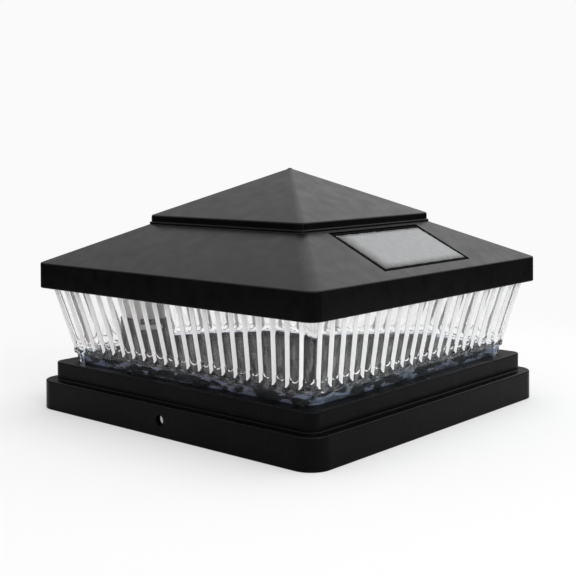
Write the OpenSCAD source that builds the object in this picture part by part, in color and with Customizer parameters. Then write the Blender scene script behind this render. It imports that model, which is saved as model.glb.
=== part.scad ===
// Solar deck post cap light for a square post.
// Millimetres. Origin at the centre of the underside, +Z up, the solar panel on the +X roof slope.

/* [Post and base] */
// Side of the square post that the cap drops over
post_w = 152.4; // [120:0.1:170]
// Clearance between the post and the skirt, each side
post_gap = 1.3; // [0.8:0.1:3]
// Thickness of the skirt wall
skirt_wall = 2.5; // [1.8:0.1:3.5]
// Height of the lower tier
lower_tier_h = 12.8; // [10.5:0.1:20]
// Height of the upper tier
upper_tier_h = 7.8; // [7:0.1:14]
// How far the upper tier stands in from the lower one
tier_step = 5.1; // [4:0.1:7]
// Thickness of the shoulder between the tiers
shoulder_t = 2.4; // [1.8:0.1:3]
// Thickness of the floor under the lens
floor_t = 2.4; // [1.8:0.1:3]
// Outer corner radius of the lower tier
lower_corner_r = 9; // [6:0.5:11]
// Outer corner radius of the upper tier
upper_corner_r = 4.6; // [3:0.1:7]
// Corner radius inside the skirt
socket_corner_r = 4; // [3:0.1:4.4]
// Rounding of the tiers' upper edges
tier_edge_r = 1; // [0.4:0.1:1.5]
// Diameter of the side screw holes
side_hole_d = 4; // [3:0.1:5]
// Height of the side screw holes
side_hole_z = 6.9; // [5:0.1:8]
// Height of the ribs under the floor
floor_rib_h = 3.4; // [2:0.1:4]
// Thickness of the ribs under the floor
floor_rib_t = 1.6; // [1:0.1:2.5]
// Distance between the ribs under the floor
floor_rib_pitch = 48; // [40:1:54]
// Height of the kerb that centres the lens
kerb_h = 3.9; // [3:0.1:4.4]
// Thickness of the kerb
kerb_t = 1.6; // [1:0.1:2.5]

/* [Lens] */
// How far the lens rim stands in from the upper tier
rim_inset = 5.3; // [4:0.1:7]
// Height of the plain rim at the foot of the lens
rim_h = 4.1; // [3:0.1:6]
// How much narrower the rim is at its foot, each side
rim_draft = 1; // [0.4:0.1:1.3]
// Lean of the lens sides from upright
flare = 13.15; // [8:0.05:16]
// Height of the flared sides
flare_h = 28.9; // [24:0.1:36]
// Height of the upright collar inside the roof
collar_h = 6; // [5.5:0.1:9]
// Thickness of the lens wall
lens_wall = 3.2; // [2.8:0.1:3.5]
// Corner radius at the foot of the lens
lens_corner_r = 6; // [5.5:0.5:9]
// Number of flutes round the lens
flute_count = 86; // [66:2:102]
// Width of the rib left between flutes
flute_rib_w = 1.4; // [1:0.1:2.4]
// Depth of a flute
flute_depth = 1.4; // [0.6:0.1:1.8]
// Plain height below the flutes
flute_foot = 1.3; // [1:0.1:6]
// Width of a clip tab
tab_w = 14; // [8:0.5:20]
// Thickness of a clip tab
tab_t = 1.7; // [1.2:0.1:1.9]
// Reach of a clip tab below the rim
tab_drop = 6.4; // [5:0.1:7]
// How far the barb stands out from a clip tab
barb = 0.8; // [0.3:0.1:1]
// Clearance round a clip tab in its slot
tab_gap = 0.3; // [0.2:0.05:0.6]

/* [Roof] */
// Clearance between the lens collar and the fascia
collar_gap = 0.45; // [0.3:0.05:0.8]
// Thickness of the fascia and roof
roof_wall = 2.4; // [1.8:0.1:3]
// How far the fascia hangs below the reflector tray
fascia_drop = 1.4; // [1:0.1:4]
// Height of the fascia
fascia_h = 11.15; // [10:0.05:18]
// Corner radius of the fascia
fascia_corner_r = 5; // [3.5:0.5:7]
// Pitch of the roof slope in degrees
roof_pitch = 25.2; // [18:0.1:30]
// Width of the stepped band
band_w = 88.1; // [70:0.1:92]
// Height of the stepped band
band_h = 3.5; // [2:0.1:6]
// Corner radius of the band
band_corner_r = 3; // [2:0.5:5]
// Ledge that the plinth leaves round the band
plinth_ledge = 0.8; // [0.3:0.1:1.2]
// Height of the plinth under the band
plinth_h = 0.7; // [0.4:0.1:1.5]
// Height of the pyramid above the band
pyramid_h = 20.3; // [14:0.1:30]
// Rounding of the roof's edges
roof_edge_r = 0.8; // [0.4:0.1:1.2]
// Outer diameter of the roof bosses
boss_d = 7; // [6:0.1:9]
// Distance of the roof bosses from the middle, along X and Y
boss_at = 58; // [56:0.5:61]
// Length of the snap hooks that hold the lens
hook_l = 8; // [5:0.5:12]
// Distance of the snap hooks from the middle of a side
hook_at = 38; // [25:0.5:55]

/* [Solar panel] */
// Length of the panel recess, along the eave
recess_l = 60.8; // [50:0.1:66]
// Width of the panel recess, up the slope
recess_w = 30.9; // [26:0.1:31.5]
// Distance of the recess from the eave, up the slope
recess_from_eave = 5.8; // [4:0.1:6.2]
// Depth of the panel recess
recess_depth = 2.2; // [1.8:0.1:2.6]
// Width of the sealant round the panel
seal_w = 1.1; // [0.6:0.1:2]
// Thickness of the sealant under the panel
seal_t = 0.5; // [0.3:0.1:0.8]
// Thickness of the panel's backing board
panel_board_t = 0.8; // [0.4:0.1:0.9]
// Number of cell strips across the panel
cell_count = 4; // [2:1:6]
// Gap between cell strips
cell_gap = 0.8; // [0.4:0.1:2]
// Border between the cells and the panel's edge
cell_margin = 1.4; // [0.8:0.1:3]
// Thickness of a cell strip
cell_t = 0.3; // [0.2:0.05:0.4]
// Diameter of the wire hole in the roof
wire_hole_d = 5; // [4:0.1:7]

/* [Tray and board] */
// Thickness of the reflector tray
tray_t = 2; // [1.6:0.1:3]
// Clearance round the tray inside the lens collar
tray_gap = 0.35; // [0.2:0.05:0.8]
// Length of the circuit board
board_l = 64; // [60:1:72]
// Width of the circuit board
board_w = 46; // [40:1:50]
// Thickness of the circuit board
board_t = 1.6; // [1:0.1:2]
// Height of the posts that carry the board
post_h = 4; // [3.8:0.1:6]
// Outer diameter of the posts that carry the board
board_post_d = 5.4; // [5:0.1:7]
// Diameter of a lamp's lens
led_d = 5; // [3:0.1:6]
// Length of a lamp, from the board to its tip
led_l = 8.6; // [8:0.1:11]
// Distance of the lamps from the middle, along X
led_x = 25; // [22:0.5:27]
// Distance of the lamps from the middle, along Y
led_y = 17; // [14:0.5:18]
// Travel of the switch knob
switch_travel = 2.5; // [1.5:0.1:3]

/* [Battery] */
// Diameter of the rechargeable cell
cell_d = 14.2; // [10:0.1:14.6]
// Length of the rechargeable cell with its nub
cell_l = 28.5; // [24:0.1:29]
// Clearance round the cell in its tube
cell_clear = 0.5; // [0.3:0.05:0.8]
// Thickness of the tube's wall
tube_wall = 1.3; // [1.2:0.1:1.8]
// Distance of the tube from the middle, towards -X
tube_x = 41; // [38:0.5:44]
// Distance of the tube from the middle, towards -Y
tube_y = 49; // [44:0.5:50]
// Clearance between the tube and the cap
cap_gap = 0.3; // [0.15:0.05:0.5]
// Thickness of the cap's side wall
cap_wall = 1.4; // [1.1:0.1:2]
// Height of the cap
cap_h = 18.6; // [15:0.1:22]
// Space between the cap and the base floor
cap_floor_gap = 2.8; // [2:0.1:4]
// Turn of the cap from locked to free
cap_turn = 60; // [40:5:80]
// Diameter of the bayonet lugs
lug_d = 2.2; // [1.6:0.1:3]
// Number of grip ribs round the cap
grip_count = 24; // [12:2:36]
// Turns of the contact spring
spring_turns = 4; // [3:1:6]
// Wire diameter of the contact spring
spring_wire = 0.7; // [0.5:0.05:0.8]

/* [Fasteners and wires] */
// Thread diameter of the tray screws
tray_screw_d = 2.9; // [2.5:0.1:3.5]
// Length of the tray screws under the head
tray_screw_l = 10; // [8:0.5:14]
// Thread diameter of the small screws
small_screw_d = 2; // [1.6:0.1:2.2]
// Clearance of a screw in what it passes through or bites
screw_gap = 0.1; // [0.05:0.05:0.2]
// Outer diameter of the wires
wire_d = 1.3; // [0.8:0.1:1.6]

/* [Hidden] */

fine = 64;
hull_fn = 32;
eps = 0.01;

black_plastic = [0.07, 0.07, 0.075];
clear_plastic = [0.86, 0.88, 0.92, 0.45];
white_plastic = [0.92, 0.92, 0.9];
steel = [0.72, 0.72, 0.74];

// Heights, from the underside up
tier_z = lower_tier_h;
floor_z = lower_tier_h + upper_tier_h;
flare_z = floor_z + rim_h;
collar_z = flare_z + flare_h;
tray_z = collar_z + fascia_drop;
tray_top = tray_z + tray_t;
fascia_z = tray_z - fascia_drop;
eave_z = fascia_z + fascia_h;
collar_top = collar_z + collar_h;

// Half widths, from the post outwards and up
socket_half = post_w / 2 + post_gap;
lower_half = socket_half + skirt_wall;
upper_half = lower_half - tier_step;
rim_half = upper_half - rim_inset;
rim_foot_half = rim_half - rim_draft;
collar_half = rim_half + flare_h * tan(flare);
fascia_inner = collar_half + collar_gap;
eave_half = fascia_inner + roof_wall;
band_half = band_w / 2;
tray_half = collar_half - lens_wall - tray_gap;
kerb_half = rim_foot_half - lens_wall - tab_gap;

// Roof surfaces
slope_rise = tan(roof_pitch);
roof_drop = roof_wall / cos(roof_pitch);
band_z = eave_z + (eave_half - band_half) * slope_rise;
band_top = band_z + band_h;
pyramid_rise = pyramid_h / band_half;
pyramid_drop = roof_wall * sqrt(1 + pyramid_rise * pyramid_rise);
cavity_half = band_half - roof_wall;

// Clip tabs and their slots
tab_half = rim_foot_half - (lens_wall - tab_t) / 2;
barb_h = 2;

// Snap hooks of the fascia and windows of the collar
hook_h = 1.8;
hook_reach = collar_gap + 1;
hook_z = tray_top + 0.6;
window_gap = 0.3;

// Solar panel stack, measured down from the roof surface
seal_lip = 0.15;
seal_gap = 0.15;
panel_l = recess_l - 2 * seal_w;
panel_w = recess_w - 2 * seal_w;
panel_back = -recess_depth + seal_t;
panel_mid = panel_back + panel_board_t;
pad_t = 1.8;
pad_margin = 3;

// Screws
tray_head_d = 5.6;
tray_head_h = 1.9;
small_head_d = 3.8;
small_head_h = 1.4;
small_screw_l = 5;
tube_screw_l = 4.6;

// Board and what it carries
board_z = tray_top + post_h;
board_top = board_z + board_t;
board_post_x = 17;
led_rim_d = led_d + 0.8;
led_rim_h = 1;
led_hole_gap = 0.4;
bezel_h = 1.2;
bezel_rim_d = led_d + 5;
bezel_root_d = led_d + 7.4;
chip_at = [0, 10.5];
chip_l = 6;
chip_w = 5;
chip_h = 1.6;
coil_at = [-6, -6];
coil_l = 10;
coil_r = 1.7;
coil_waist_r = 1.4;
coil_end = 2;
can_at = [10, -14];
can_d = 6.3;
can_h = 7;
switch_l = 8.5;
switch_w = 4;
switch_h = post_h - 0.4;
switch_y = -12;
knob_l = 2;
knob_w = 1.8;
knob_gap = 0.2;
knob_proud = 1.6;
plate_t = 0.4;

// Battery tube, cap and contacts
tube_inner = cell_d / 2 + cell_clear;
tube_outer = tube_inner + tube_wall;
cap_inner = tube_outer + cap_gap;
cap_outer = cap_inner + cap_wall;
cap_z = floor_z + cap_floor_gap;
cap_floor_t = 1.8;
cap_rim_z = cap_z + cap_h;
disc_z = cap_z + cap_floor_t;
disc_t = 0.4;
strip_t = 0.3;
strip_w = 3;
contact_gap = 0.1;
lip_z = disc_z + disc_t + contact_gap + strip_t;
plate_z = tray_top + 2;
cell_z = plate_z - cell_l;
spring_z = disc_z + disc_t;
spring_h = cell_z - spring_z;
tube_top_t = 1.5;
tube_top = plate_z + plate_t + tube_top_t;
ear_r = 3;
ear_at = tube_outer + ear_r;
lug_z = cap_rim_z - 4;
lug_reach = cap_outer - 0.2;
slot_gap = 0.3;
grip_r = 0.5;
grip_foot = 0.8;
grip_h = cap_h * 0.5;
detent = 0.2;
nub_d = 5.5;
nub_h = 1;

// Wires: how far they run straight, and their solder pads on the board
wire_clear = 0.3;
wire_drop = board_z - tray_top + 5.4;
wire_steps = 16;
panel_lead = 12;
tab_lead = 6;
pad_inset = 3;
pad_step = 4;
solder_gap = 0.05;

// ---------- shared shapes ----------

// Square with rounded corners, from its half width
module soft_square(half, r) {
    square([2 * half, 2 * (half - r)], center = true);
    square([2 * (half - r), 2 * half], center = true);
    for (x = [-1, 1], y = [-1, 1])
        translate([x * (half - r), y * (half - r)])
            circle(r, $fn = fine);
}

// Round corner post of a slab: half profile turned, with a rounded upper edge
module corner_post(r, z0, z1, edge_r) {
    rotate_extrude($fn = hull_fn)
        polygon(concat([[0, z0], [r, z0]],
            [for (a = [0:30:90]) [r - edge_r + edge_r * cos(a), z1 - edge_r + edge_r * sin(a)]],
            [[0, z1]]));
}

// The four corner posts of a square slab
module corner_posts(half, r, z0, z1, edge_r) {
    for (x = [-1, 1], y = [-1, 1])
        translate([x * (half - r), y * (half - r), 0])
            corner_post(r, z0, z1, edge_r);
}

// Four upright round rods at the corners of a square, the ends of a flared or straight form
module corner_rods(half, r, z0, z1) {
    for (x = [-1, 1], y = [-1, 1])
        translate([x * (half - r), y * (half - r), z0])
            cylinder(r = r, h = z1 - z0, $fn = hull_fn);
}

// Places children on each of the four sides, with -Y as the first
module each_side() {
    for (k = [0:3])
        rotate([0, 0, 90 * k])
            children();
}

// Places children on the +X roof slope: +X up the slope, +Z out of the roof
module on_slope() {
    translate([eave_half, 0, eave_z])
        rotate([0, roof_pitch, 0])
            rotate([0, 0, 180])
                children();
}

// Slab on the slope, centred on the panel
module slope_slab(w, l, z0, z1) {
    translate([recess_from_eave + recess_w / 2 - w / 2, -l / 2, z0])
        cube([w, l, z1 - z0]);
}

// Pan head screw pointing up, with its head's bearing face at z = 0
module pan_screw(d, l, head_d, head_h) {
    tip = d * 0.6;
    slot_w = head_d * 0.16;
    difference() {
        rotate_extrude($fn = fine)
            polygon([[0, -head_h], [head_d * 0.32, -head_h], [head_d / 2, -head_h * 0.45],
                [head_d / 2, 0], [d / 2, 0], [d / 2, l - tip], [0, l]]);
        for (a = [0, 90])
            rotate([0, 0, a])
                translate([-head_d * 0.27, -slot_w / 2, -head_h - eps])
                    cube([head_d * 0.54, slot_w, head_h * 0.55]);
    }
}

// Unbroken tube along a path of points, with rings square to it
function unit(v) = v / norm(v);
function tangent(path, i) = unit(path[min(i + 1, len(path) - 1)] - path[max(i - 1, 0)]);
function ring(path, i, r, sides, ref) =
    let (t = tangent(path, i), u = unit(cross(t, ref)), v = cross(u, t))
    [for (k = [0:sides - 1]) path[i] + r * (cos(360 * k / sides) * u + sin(360 * k / sides) * v)];
module swept_tube(path, r, sides, ref) {
    n = len(path);
    points = [for (i = [0:n - 1]) each ring(path, i, r, sides, ref)];
    sides_a = [for (i = [0:n - 2], k = [0:sides - 1])
        [i * sides + k, (i + 1) * sides + k, i * sides + (k + 1) % sides]];
    sides_b = [for (i = [0:n - 2], k = [0:sides - 1])
        [i * sides + (k + 1) % sides, (i + 1) * sides + k, (i + 1) * sides + (k + 1) % sides]];
    start = [for (k = [1:sides - 2]) [0, k, k + 1]];
    last = (n - 1) * sides;
    finish = [for (k = [1:sides - 2]) [last, last + k + 1, last + k]];
    polyhedron(points, concat(sides_a, sides_b, start, finish));
}

// Cubic curve through two ends, leaving and arriving along its handles
function bezier(a, b, c, d, t) =
    pow(1 - t, 3) * a + 3 * pow(1 - t, 2) * t * b + 3 * (1 - t) * t * t * c + t * t * t * d;
function curve(a, b, c, d, steps) = [for (i = [0:steps]) bezier(a, b, c, d, i / steps)];

// ---------- base ----------

// Skirt over the post: two tiers, a floor inside the lens, slots for the clip tabs
module base_housing() {
    color(black_plastic)
        difference() {
            union() {
                difference() {
                    union() {
                        hull() corner_posts(lower_half, lower_corner_r, 0, tier_z, tier_edge_r);
                        hull() corner_posts(upper_half, upper_corner_r, tier_z - 1, floor_z,
                            tier_edge_r);
                    }
                    translate([0, 0, -eps])
                        linear_extrude(tier_z - shoulder_t + eps)
                            soft_square(socket_half, socket_corner_r);
                    translate([0, 0, -eps])
                        linear_extrude(floor_z - floor_t + eps)
                            soft_square(upper_half - skirt_wall, upper_corner_r - skirt_wall / 2);
                }
                floor_ribs();
                kerb();
            }
            each_side() tab_slot();
            for (side = [-1, 1])
                translate([0, side * (lower_half + 1), side_hole_z])
                    rotate([side * 90, 0, 0])
                        cylinder(d = side_hole_d, h = skirt_wall + 2, $fn = fine);
        }
}

// Crossed ribs that stiffen the floor from below
module floor_ribs() {
    rib_half = upper_half - skirt_wall + eps;
    for (a = [0, 90], side = [-1, 1])
        rotate([0, 0, a])
            translate([side * floor_rib_pitch / 2 - floor_rib_t / 2, -rib_half,
                    floor_z - floor_t - floor_rib_h])
                cube([floor_rib_t, 2 * rib_half, floor_rib_h + eps]);
}

// Low wall on the floor that centres the lens rim
module kerb() {
    translate([0, 0, floor_z - eps])
        linear_extrude(kerb_h + eps)
            difference() {
                soft_square(kerb_half, lens_corner_r - lens_wall);
                soft_square(kerb_half - kerb_t, lens_corner_r - lens_wall - kerb_t);
            }
}

// Slot in the floor for one clip tab, wide enough for its barb
module tab_slot() {
    slot_l = tab_w + 2 * tab_gap;
    slot_w = tab_t + barb + 2 * tab_gap;
    translate([-slot_l / 2, -tab_half - barb - tab_gap, floor_z - floor_t - 1])
        cube([slot_l, slot_w, floor_t + 1 + eps]);
}

// ---------- lens ----------

// Fluted, flared side moulding with a plain rim, a collar and four clip tabs
module lens() {
    color(clear_plastic)
        union() {
            difference() {
                lens_body();
                flutes();
                each_side() collar_windows();
            }
            each_side() clip_tab();
        }
}

// Hollow form of the lens without its flutes
module lens_body() {
    wall = lens_wall / cos(flare);
    inner_r = lens_corner_r - lens_wall;
    difference() {
        union() {
            hull() {
                corner_rods(rim_foot_half, lens_corner_r, floor_z, floor_z + eps);
                corner_rods(rim_half, lens_corner_r, flare_z - eps, flare_z);
            }
            hull() {
                corner_rods(rim_half, lens_corner_r, flare_z - eps, flare_z);
                corner_rods(collar_half, lens_corner_r, collar_z, collar_z + eps);
            }
            translate([0, 0, collar_z])
                linear_extrude(collar_h)
                    soft_square(collar_half, lens_corner_r);
        }
        hull() {
            corner_rods(rim_foot_half - lens_wall, inner_r, floor_z - eps, floor_z);
            corner_rods(rim_half - wall, inner_r, flare_z - eps, flare_z);
        }
        hull() {
            corner_rods(rim_half - wall, inner_r, flare_z - eps, flare_z);
            corner_rods(collar_half - wall, inner_r, collar_z, collar_z + eps);
        }
        translate([0, 0, collar_z])
            linear_extrude(collar_h + 1)
                soft_square(collar_half - lens_wall, inner_r);
    }
}

// Distance round the lens at one of its half widths
function lens_round(half) = 8 * (half - lens_corner_r) + 2 * PI * lens_corner_r;

// Place at a distance round the lens from the middle of its -Y side: x, y and the side's turn
function lens_place(half, way) =
    let (flat = half - lens_corner_r, side_l = lens_round(half) / 4,
        k = floor((way + flat) / side_l), along = way + flat - k * side_l,
        bend = max(0, along - 2 * flat) / lens_corner_r * 180 / PI,
        x = min(along, 2 * flat) - flat + lens_corner_r * sin(bend),
        y = -flat - lens_corner_r * cos(bend), a = 90 * k)
    [x * cos(a) - y * sin(a), x * sin(a) + y * cos(a), a + bend];

// Cutters for the flutes, side by side round the lens, each square to the wall where it lies
module flutes() {
    foot_pitch = lens_round(rim_half) / flute_count;
    head_pitch = lens_round(collar_half) / flute_count;
    for (i = [0:flute_count - 1]) {
        foot = lens_place(rim_half, (i + 0.5) * foot_pitch);
        head = lens_place(collar_half, (i + 0.5) * head_pitch);
        turn = (foot[2] + head[2]) / 2;
        run = head - foot;
        along = run[0] * cos(turn) + run[1] * sin(turn);
        outward = run[0] * sin(turn) - run[1] * cos(turn);
        translate([foot[0], foot[1], flare_z])
            rotate([0, 0, turn])
                rotate([90 + atan(outward / flare_h), 0, 0])
                    flute((foot_pitch - flute_rib_w) / 2, (head_pitch - flute_rib_w) / 2, along,
                        norm([outward, flare_h]));
    }
}

// Cutter for one flute: a round foot above the rim, widening to its head
module flute(foot_r, head_r, head_x, head_y) {
    foot_y = flute_foot + foot_r;
    foot_x = head_x * foot_y / head_y;
    translate([0, 0, -flute_depth])
        linear_extrude(flute_depth + 2)
            polygon(concat(
                [for (a = [180:15:360]) [foot_x + foot_r * cos(a), foot_y + foot_r * sin(a)]],
                [[head_x + head_r, head_y], [head_x - head_r, head_y]]));
}

// Openings in the collar that the roof's hooks snap into
module collar_windows() {
    for (side = [-1, 1])
        translate([side * hook_at - hook_l / 2 - window_gap, -collar_half - 1,
                hook_z - window_gap])
            cube([hook_l + 2 * window_gap, lens_wall + 2, hook_h + 2 * window_gap]);
}

// Clip tab below the rim, with a barb that catches under the floor
module clip_tab() {
    top = floor_z + eps;
    foot = floor_z - tab_drop;
    under = floor_z - floor_t - tab_gap;
    translate([-tab_w / 2, 0, 0])
        rotate([90, 0, 90])
            linear_extrude(tab_w)
                polygon([[-tab_half, top], [-tab_half, under], [-tab_half - barb, under],
                    [-tab_half - barb, under - barb_h / 2], [-tab_half, foot],
                    [-tab_half + tab_t, foot], [-tab_half + tab_t, top]]);
}

// ---------- roof ----------

// Hip roof with fascia, stepped band and pyramid, hollow below
module roof_shell() {
    color(black_plastic)
        difference() {
            roof_form();
            difference() {
                roof_cavity();
                roof_bosses();
                each_side() snap_hooks();
                on_slope()
                    slope_slab(recess_w + 2 * pad_margin, recess_l + 2 * pad_margin,
                        -recess_depth - pad_t, 1);
            }
            on_slope() {
                slope_slab(recess_w, recess_l, -recess_depth, 1);
                translate([recess_from_eave + recess_w / 2, 0, -recess_depth - pad_t - 1])
                    cylinder(d = wire_hole_d, h = pad_t + 2, $fn = fine);
            }
            boss_places()
                translate([0, 0, tray_top - eps])
                    cylinder(d = tray_screw_d + 2 * screw_gap, h = tray_screw_l, $fn = fine);
        }
}

// Outside of the roof
module roof_form() {
    hull() {
        corner_posts(eave_half, fascia_corner_r, fascia_z, eave_z, roof_edge_r);
        corner_rods(band_half, band_corner_r, band_z - eps, band_z);
    }
    hull()
        corner_posts(band_half + plinth_ledge, band_corner_r + plinth_ledge, band_z - 2,
            band_z + plinth_h, roof_edge_r / 2);
    hull() {
        corner_posts(band_half, band_corner_r, band_z - 2, band_top, roof_edge_r);
        translate([0, 0, band_top + pyramid_h - roof_edge_r])
            sphere(roof_edge_r, $fn = hull_fn);
    }
}

// Inside of the roof, one wall thickness in from every surface
module roof_cavity() {
    inner_r = fascia_corner_r - roof_wall;
    shoulder_z = eave_z + (eave_half - fascia_inner) * slope_rise - roof_drop;
    neck_z = eave_z + (eave_half - cavity_half) * slope_rise - roof_drop;
    crown_z = band_top + (band_half - cavity_half) * pyramid_rise - pyramid_drop;
    hull() {
        corner_rods(fascia_inner, inner_r, fascia_z - 1, shoulder_z);
        corner_rods(cavity_half, inner_r, neck_z - 1, neck_z);
    }
    hull() {
        corner_rods(cavity_half, inner_r, neck_z - 1, crown_z);
        translate([0, 0, band_top + pyramid_h - pyramid_drop - 1])
            cylinder(r = 1, h = 0.5, $fn = hull_fn);
    }
}

// Places children at the four roof bosses
module boss_places() {
    for (x = [-1, 1], y = [-1, 1])
        translate([x * boss_at, y * boss_at, 0])
            children();
}

// Bosses that reach down from the roof to the tray
module roof_bosses() {
    boss_places()
        translate([0, 0, tray_top])
            cylinder(d = boss_d, h = band_top - tray_top, $fn = fine);
}

// Hooks inside the fascia that hold the lens collar
module snap_hooks() {
    for (side = [-1, 1])
        translate([side * hook_at - hook_l / 2, 0, 0])
            rotate([90, 0, 90])
                linear_extrude(hook_l)
                    polygon([[-fascia_inner - 1, hook_z + hook_h], [-fascia_inner + hook_reach,
                        hook_z + hook_h], [-fascia_inner, hook_z], [-fascia_inner - 1, hook_z]]);
}

// ---------- solar panel ----------

// Black silicone bed and border of the panel
module panel_sealant() {
    color([0.03, 0.03, 0.03])
        on_slope()
            difference() {
                slope_slab(recess_w - 2 * seal_gap, recess_l - 2 * seal_gap, -recess_depth,
                    -seal_lip);
                slope_slab(panel_w, panel_l, panel_back, 1);
                panel_wire_hole(-recess_depth - 1, panel_back + 1);
            }
}

// Round hole through the panel's bed for its wires
module panel_wire_hole(z0, z1) {
    translate([recess_from_eave + recess_w / 2, 0, z0])
        cylinder(d = wire_hole_d, h = z1 - z0, $fn = fine);
}

// Backing board of the panel
module panel_board() {
    color([0.1, 0.22, 0.14])
        on_slope() slope_slab(panel_w, panel_l, panel_back, panel_mid);
}

// One cell strip, for its place in the row
module cell_strip(i) {
    field = panel_l - 2 * cell_margin;
    strip = (field - (cell_count - 1) * cell_gap) / cell_count;
    on_slope()
        translate([recess_from_eave + recess_w / 2 - panel_w / 2 + cell_margin,
                -field / 2 + i * (strip + cell_gap), panel_mid])
            cube([panel_w - 2 * cell_margin, strip, cell_t]);
}

// Silicon strips on the backing board
module solar_cells() {
    color([0.08, 0.1, 0.2])
        for (i = [0:cell_count - 1])
            cell_strip(i);
}

// Clear resin poured over the cells
module panel_resin() {
    color([0.7, 0.75, 0.8, 0.6])
        difference() {
            on_slope() slope_slab(panel_w, panel_l, panel_mid, 0);
            for (i = [0:cell_count - 1])
                cell_strip(i);
        }
}

// ---------- tray, board and switch ----------

// White plate that closes the roof, with posts for the board and the tube
module reflector_tray() {
    color(white_plastic)
        difference() {
            union() {
                translate([0, 0, tray_z])
                    linear_extrude(tray_t)
                        soft_square(tray_half, lens_corner_r - lens_wall - tray_gap);
                for (side = [-1, 1])
                    translate([side * board_post_x, 0, tray_top - eps])
                        cylinder(d = board_post_d, h = post_h + eps, $fn = fine);
                tube_ear_places()
                    translate([0, 0, tray_top - eps])
                        cylinder(d = board_post_d, h = plate_z + plate_t - tray_top + eps,
                            $fn = fine);
                led_places()
                    translate([0, 0, tray_z - bezel_h])
                        cylinder(d1 = bezel_rim_d, d2 = bezel_root_d, h = bezel_h + eps,
                            $fn = fine);
            }
            boss_places()
                translate([0, 0, tray_z - 1])
                    cylinder(d = tray_screw_d + 4 * screw_gap, h = tray_t + 2, $fn = fine);
            for (side = [-1, 1])
                translate([side * board_post_x, 0, tray_z + 1])
                    cylinder(d = small_screw_d + 2 * screw_gap, h = tray_t + post_h, $fn = fine);
            tube_ear_places()
                translate([0, 0, tray_z + 0.8])
                    cylinder(d = small_screw_d + 2 * screw_gap, h = tray_t + post_h, $fn = fine);
            led_places()
                translate([0, 0, tray_z - 2])
                    cylinder(d = led_d + 2 * led_hole_gap, h = tray_t + 3, $fn = fine);
            translate([-tube_x, -tube_y, tray_z - 1])
                cylinder(r = tube_outer + screw_gap, h = tray_t + 2, $fn = fine);
            translate([-(knob_l + 2 * knob_gap + switch_travel) / 2,
                    switch_y - knob_w / 2 - 2 * knob_gap, tray_z - 1])
                cube([knob_l + 2 * knob_gap + switch_travel, knob_w + 4 * knob_gap, tray_t + 2]);
        }
}

// Screws that hold the tray to the roof bosses
module tray_screws() {
    color(steel)
        boss_places()
            translate([0, 0, tray_z])
                pan_screw(tray_screw_d, tray_screw_l, tray_head_d, tray_head_h);
}

// Circuit board on the tray's posts
module circuit_board() {
    color([0.12, 0.36, 0.2])
        difference() {
            translate([-board_l / 2, -board_w / 2, board_z])
                cube([board_l, board_w, board_t]);
            for (side = [-1, 1])
                translate([side * board_post_x, 0, board_z - 1])
                    cylinder(d = small_screw_d + 4 * screw_gap, h = board_t + 2, $fn = fine);
        }
}

// Screws that hold the board to its posts
module board_screws() {
    color(steel)
        for (side = [-1, 1])
            translate([side * board_post_x, 0, board_top])
                rotate([180, 0, 0])
                    pan_screw(small_screw_d, small_screw_l, small_head_d, small_head_h);
}

// Places children at the four lamps
module led_places() {
    for (x = [-1, 1], y = [-1, 1])
        translate([x * led_x, y * led_y, 0])
            children();
}

// Lamps that hang from the board and look down through the tray
module leds() {
    color([1, 0.97, 0.85])
        led_places()
            translate([0, 0, board_z - led_l])
                rotate_extrude($fn = fine)
                    polygon(concat(
                        [for (a = [-90:15:0]) [led_d / 2 * cos(a), led_d / 2 + led_d / 2 * sin(a)]],
                        [[led_d / 2, led_l - led_rim_h], [led_rim_d / 2, led_l - led_rim_h],
                        [led_rim_d / 2, led_l], [0, led_l]]));
}

// Charge controller chip on top of the board
module charge_chip() {
    color([0.06, 0.06, 0.06])
        translate([chip_at[0] - chip_l / 2, chip_at[1] - chip_w / 2, board_top])
            cube([chip_l, chip_w, chip_h]);
}

// Wound inductor, lying on the board
module inductor() {
    color([0.35, 0.55, 0.35])
        translate([coil_at[0], coil_at[1], board_top + coil_r])
            rotate([0, 90, 0])
                rotate_extrude($fn = fine)
                    polygon([[0, 0], [coil_r, 0], [coil_r, coil_end], [coil_waist_r, coil_end + 1],
                        [coil_waist_r, coil_l - coil_end - 1], [coil_r, coil_l - coil_end],
                        [coil_r, coil_l], [0, coil_l]]);
}

// Upright capacitor can
module capacitor() {
    color([0.15, 0.2, 0.35])
        translate([can_at[0], can_at[1], board_top])
            cylinder(d = can_d, h = can_h, $fn = fine);
}

// Slide switch under the board, hollow for its knob
module switch_body() {
    room_l = knob_l + 2 + switch_travel + 2 * knob_gap;
    color(steel)
        translate([0, switch_y, board_z - switch_h])
            difference() {
                translate([-switch_l / 2, -switch_w / 2, 0])
                    cube([switch_l, switch_w, switch_h]);
                translate([-room_l / 2, -knob_w / 2 - knob_gap, 1])
                    cube([room_l, knob_w + 2 * knob_gap, switch_h - 1.6]);
                translate([-(knob_l + switch_travel) / 2 - knob_gap, -knob_w / 2 - knob_gap, -1])
                    cube([knob_l + switch_travel + 2 * knob_gap, knob_w + 2 * knob_gap, 3]);
            }
}

// Knob of the switch: a foot held in the body and a finger below the tray
module switch_knob() {
    foot_z = board_z - switch_h + 1 + knob_gap / 2;
    tip_z = tray_z - knob_proud;
    color([0.05, 0.05, 0.05])
        translate([-switch_travel / 2, switch_y, 0]) {
            translate([-knob_l / 2 - 1, -knob_w / 2, foot_z])
                cube([knob_l + 2, knob_w, switch_h - 1.6 - knob_gap]);
            translate([-knob_l / 2, -knob_w / 2, tip_z])
                cube([knob_l, knob_w, foot_z - tip_z + eps]);
        }
}

// ---------- battery ----------

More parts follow.
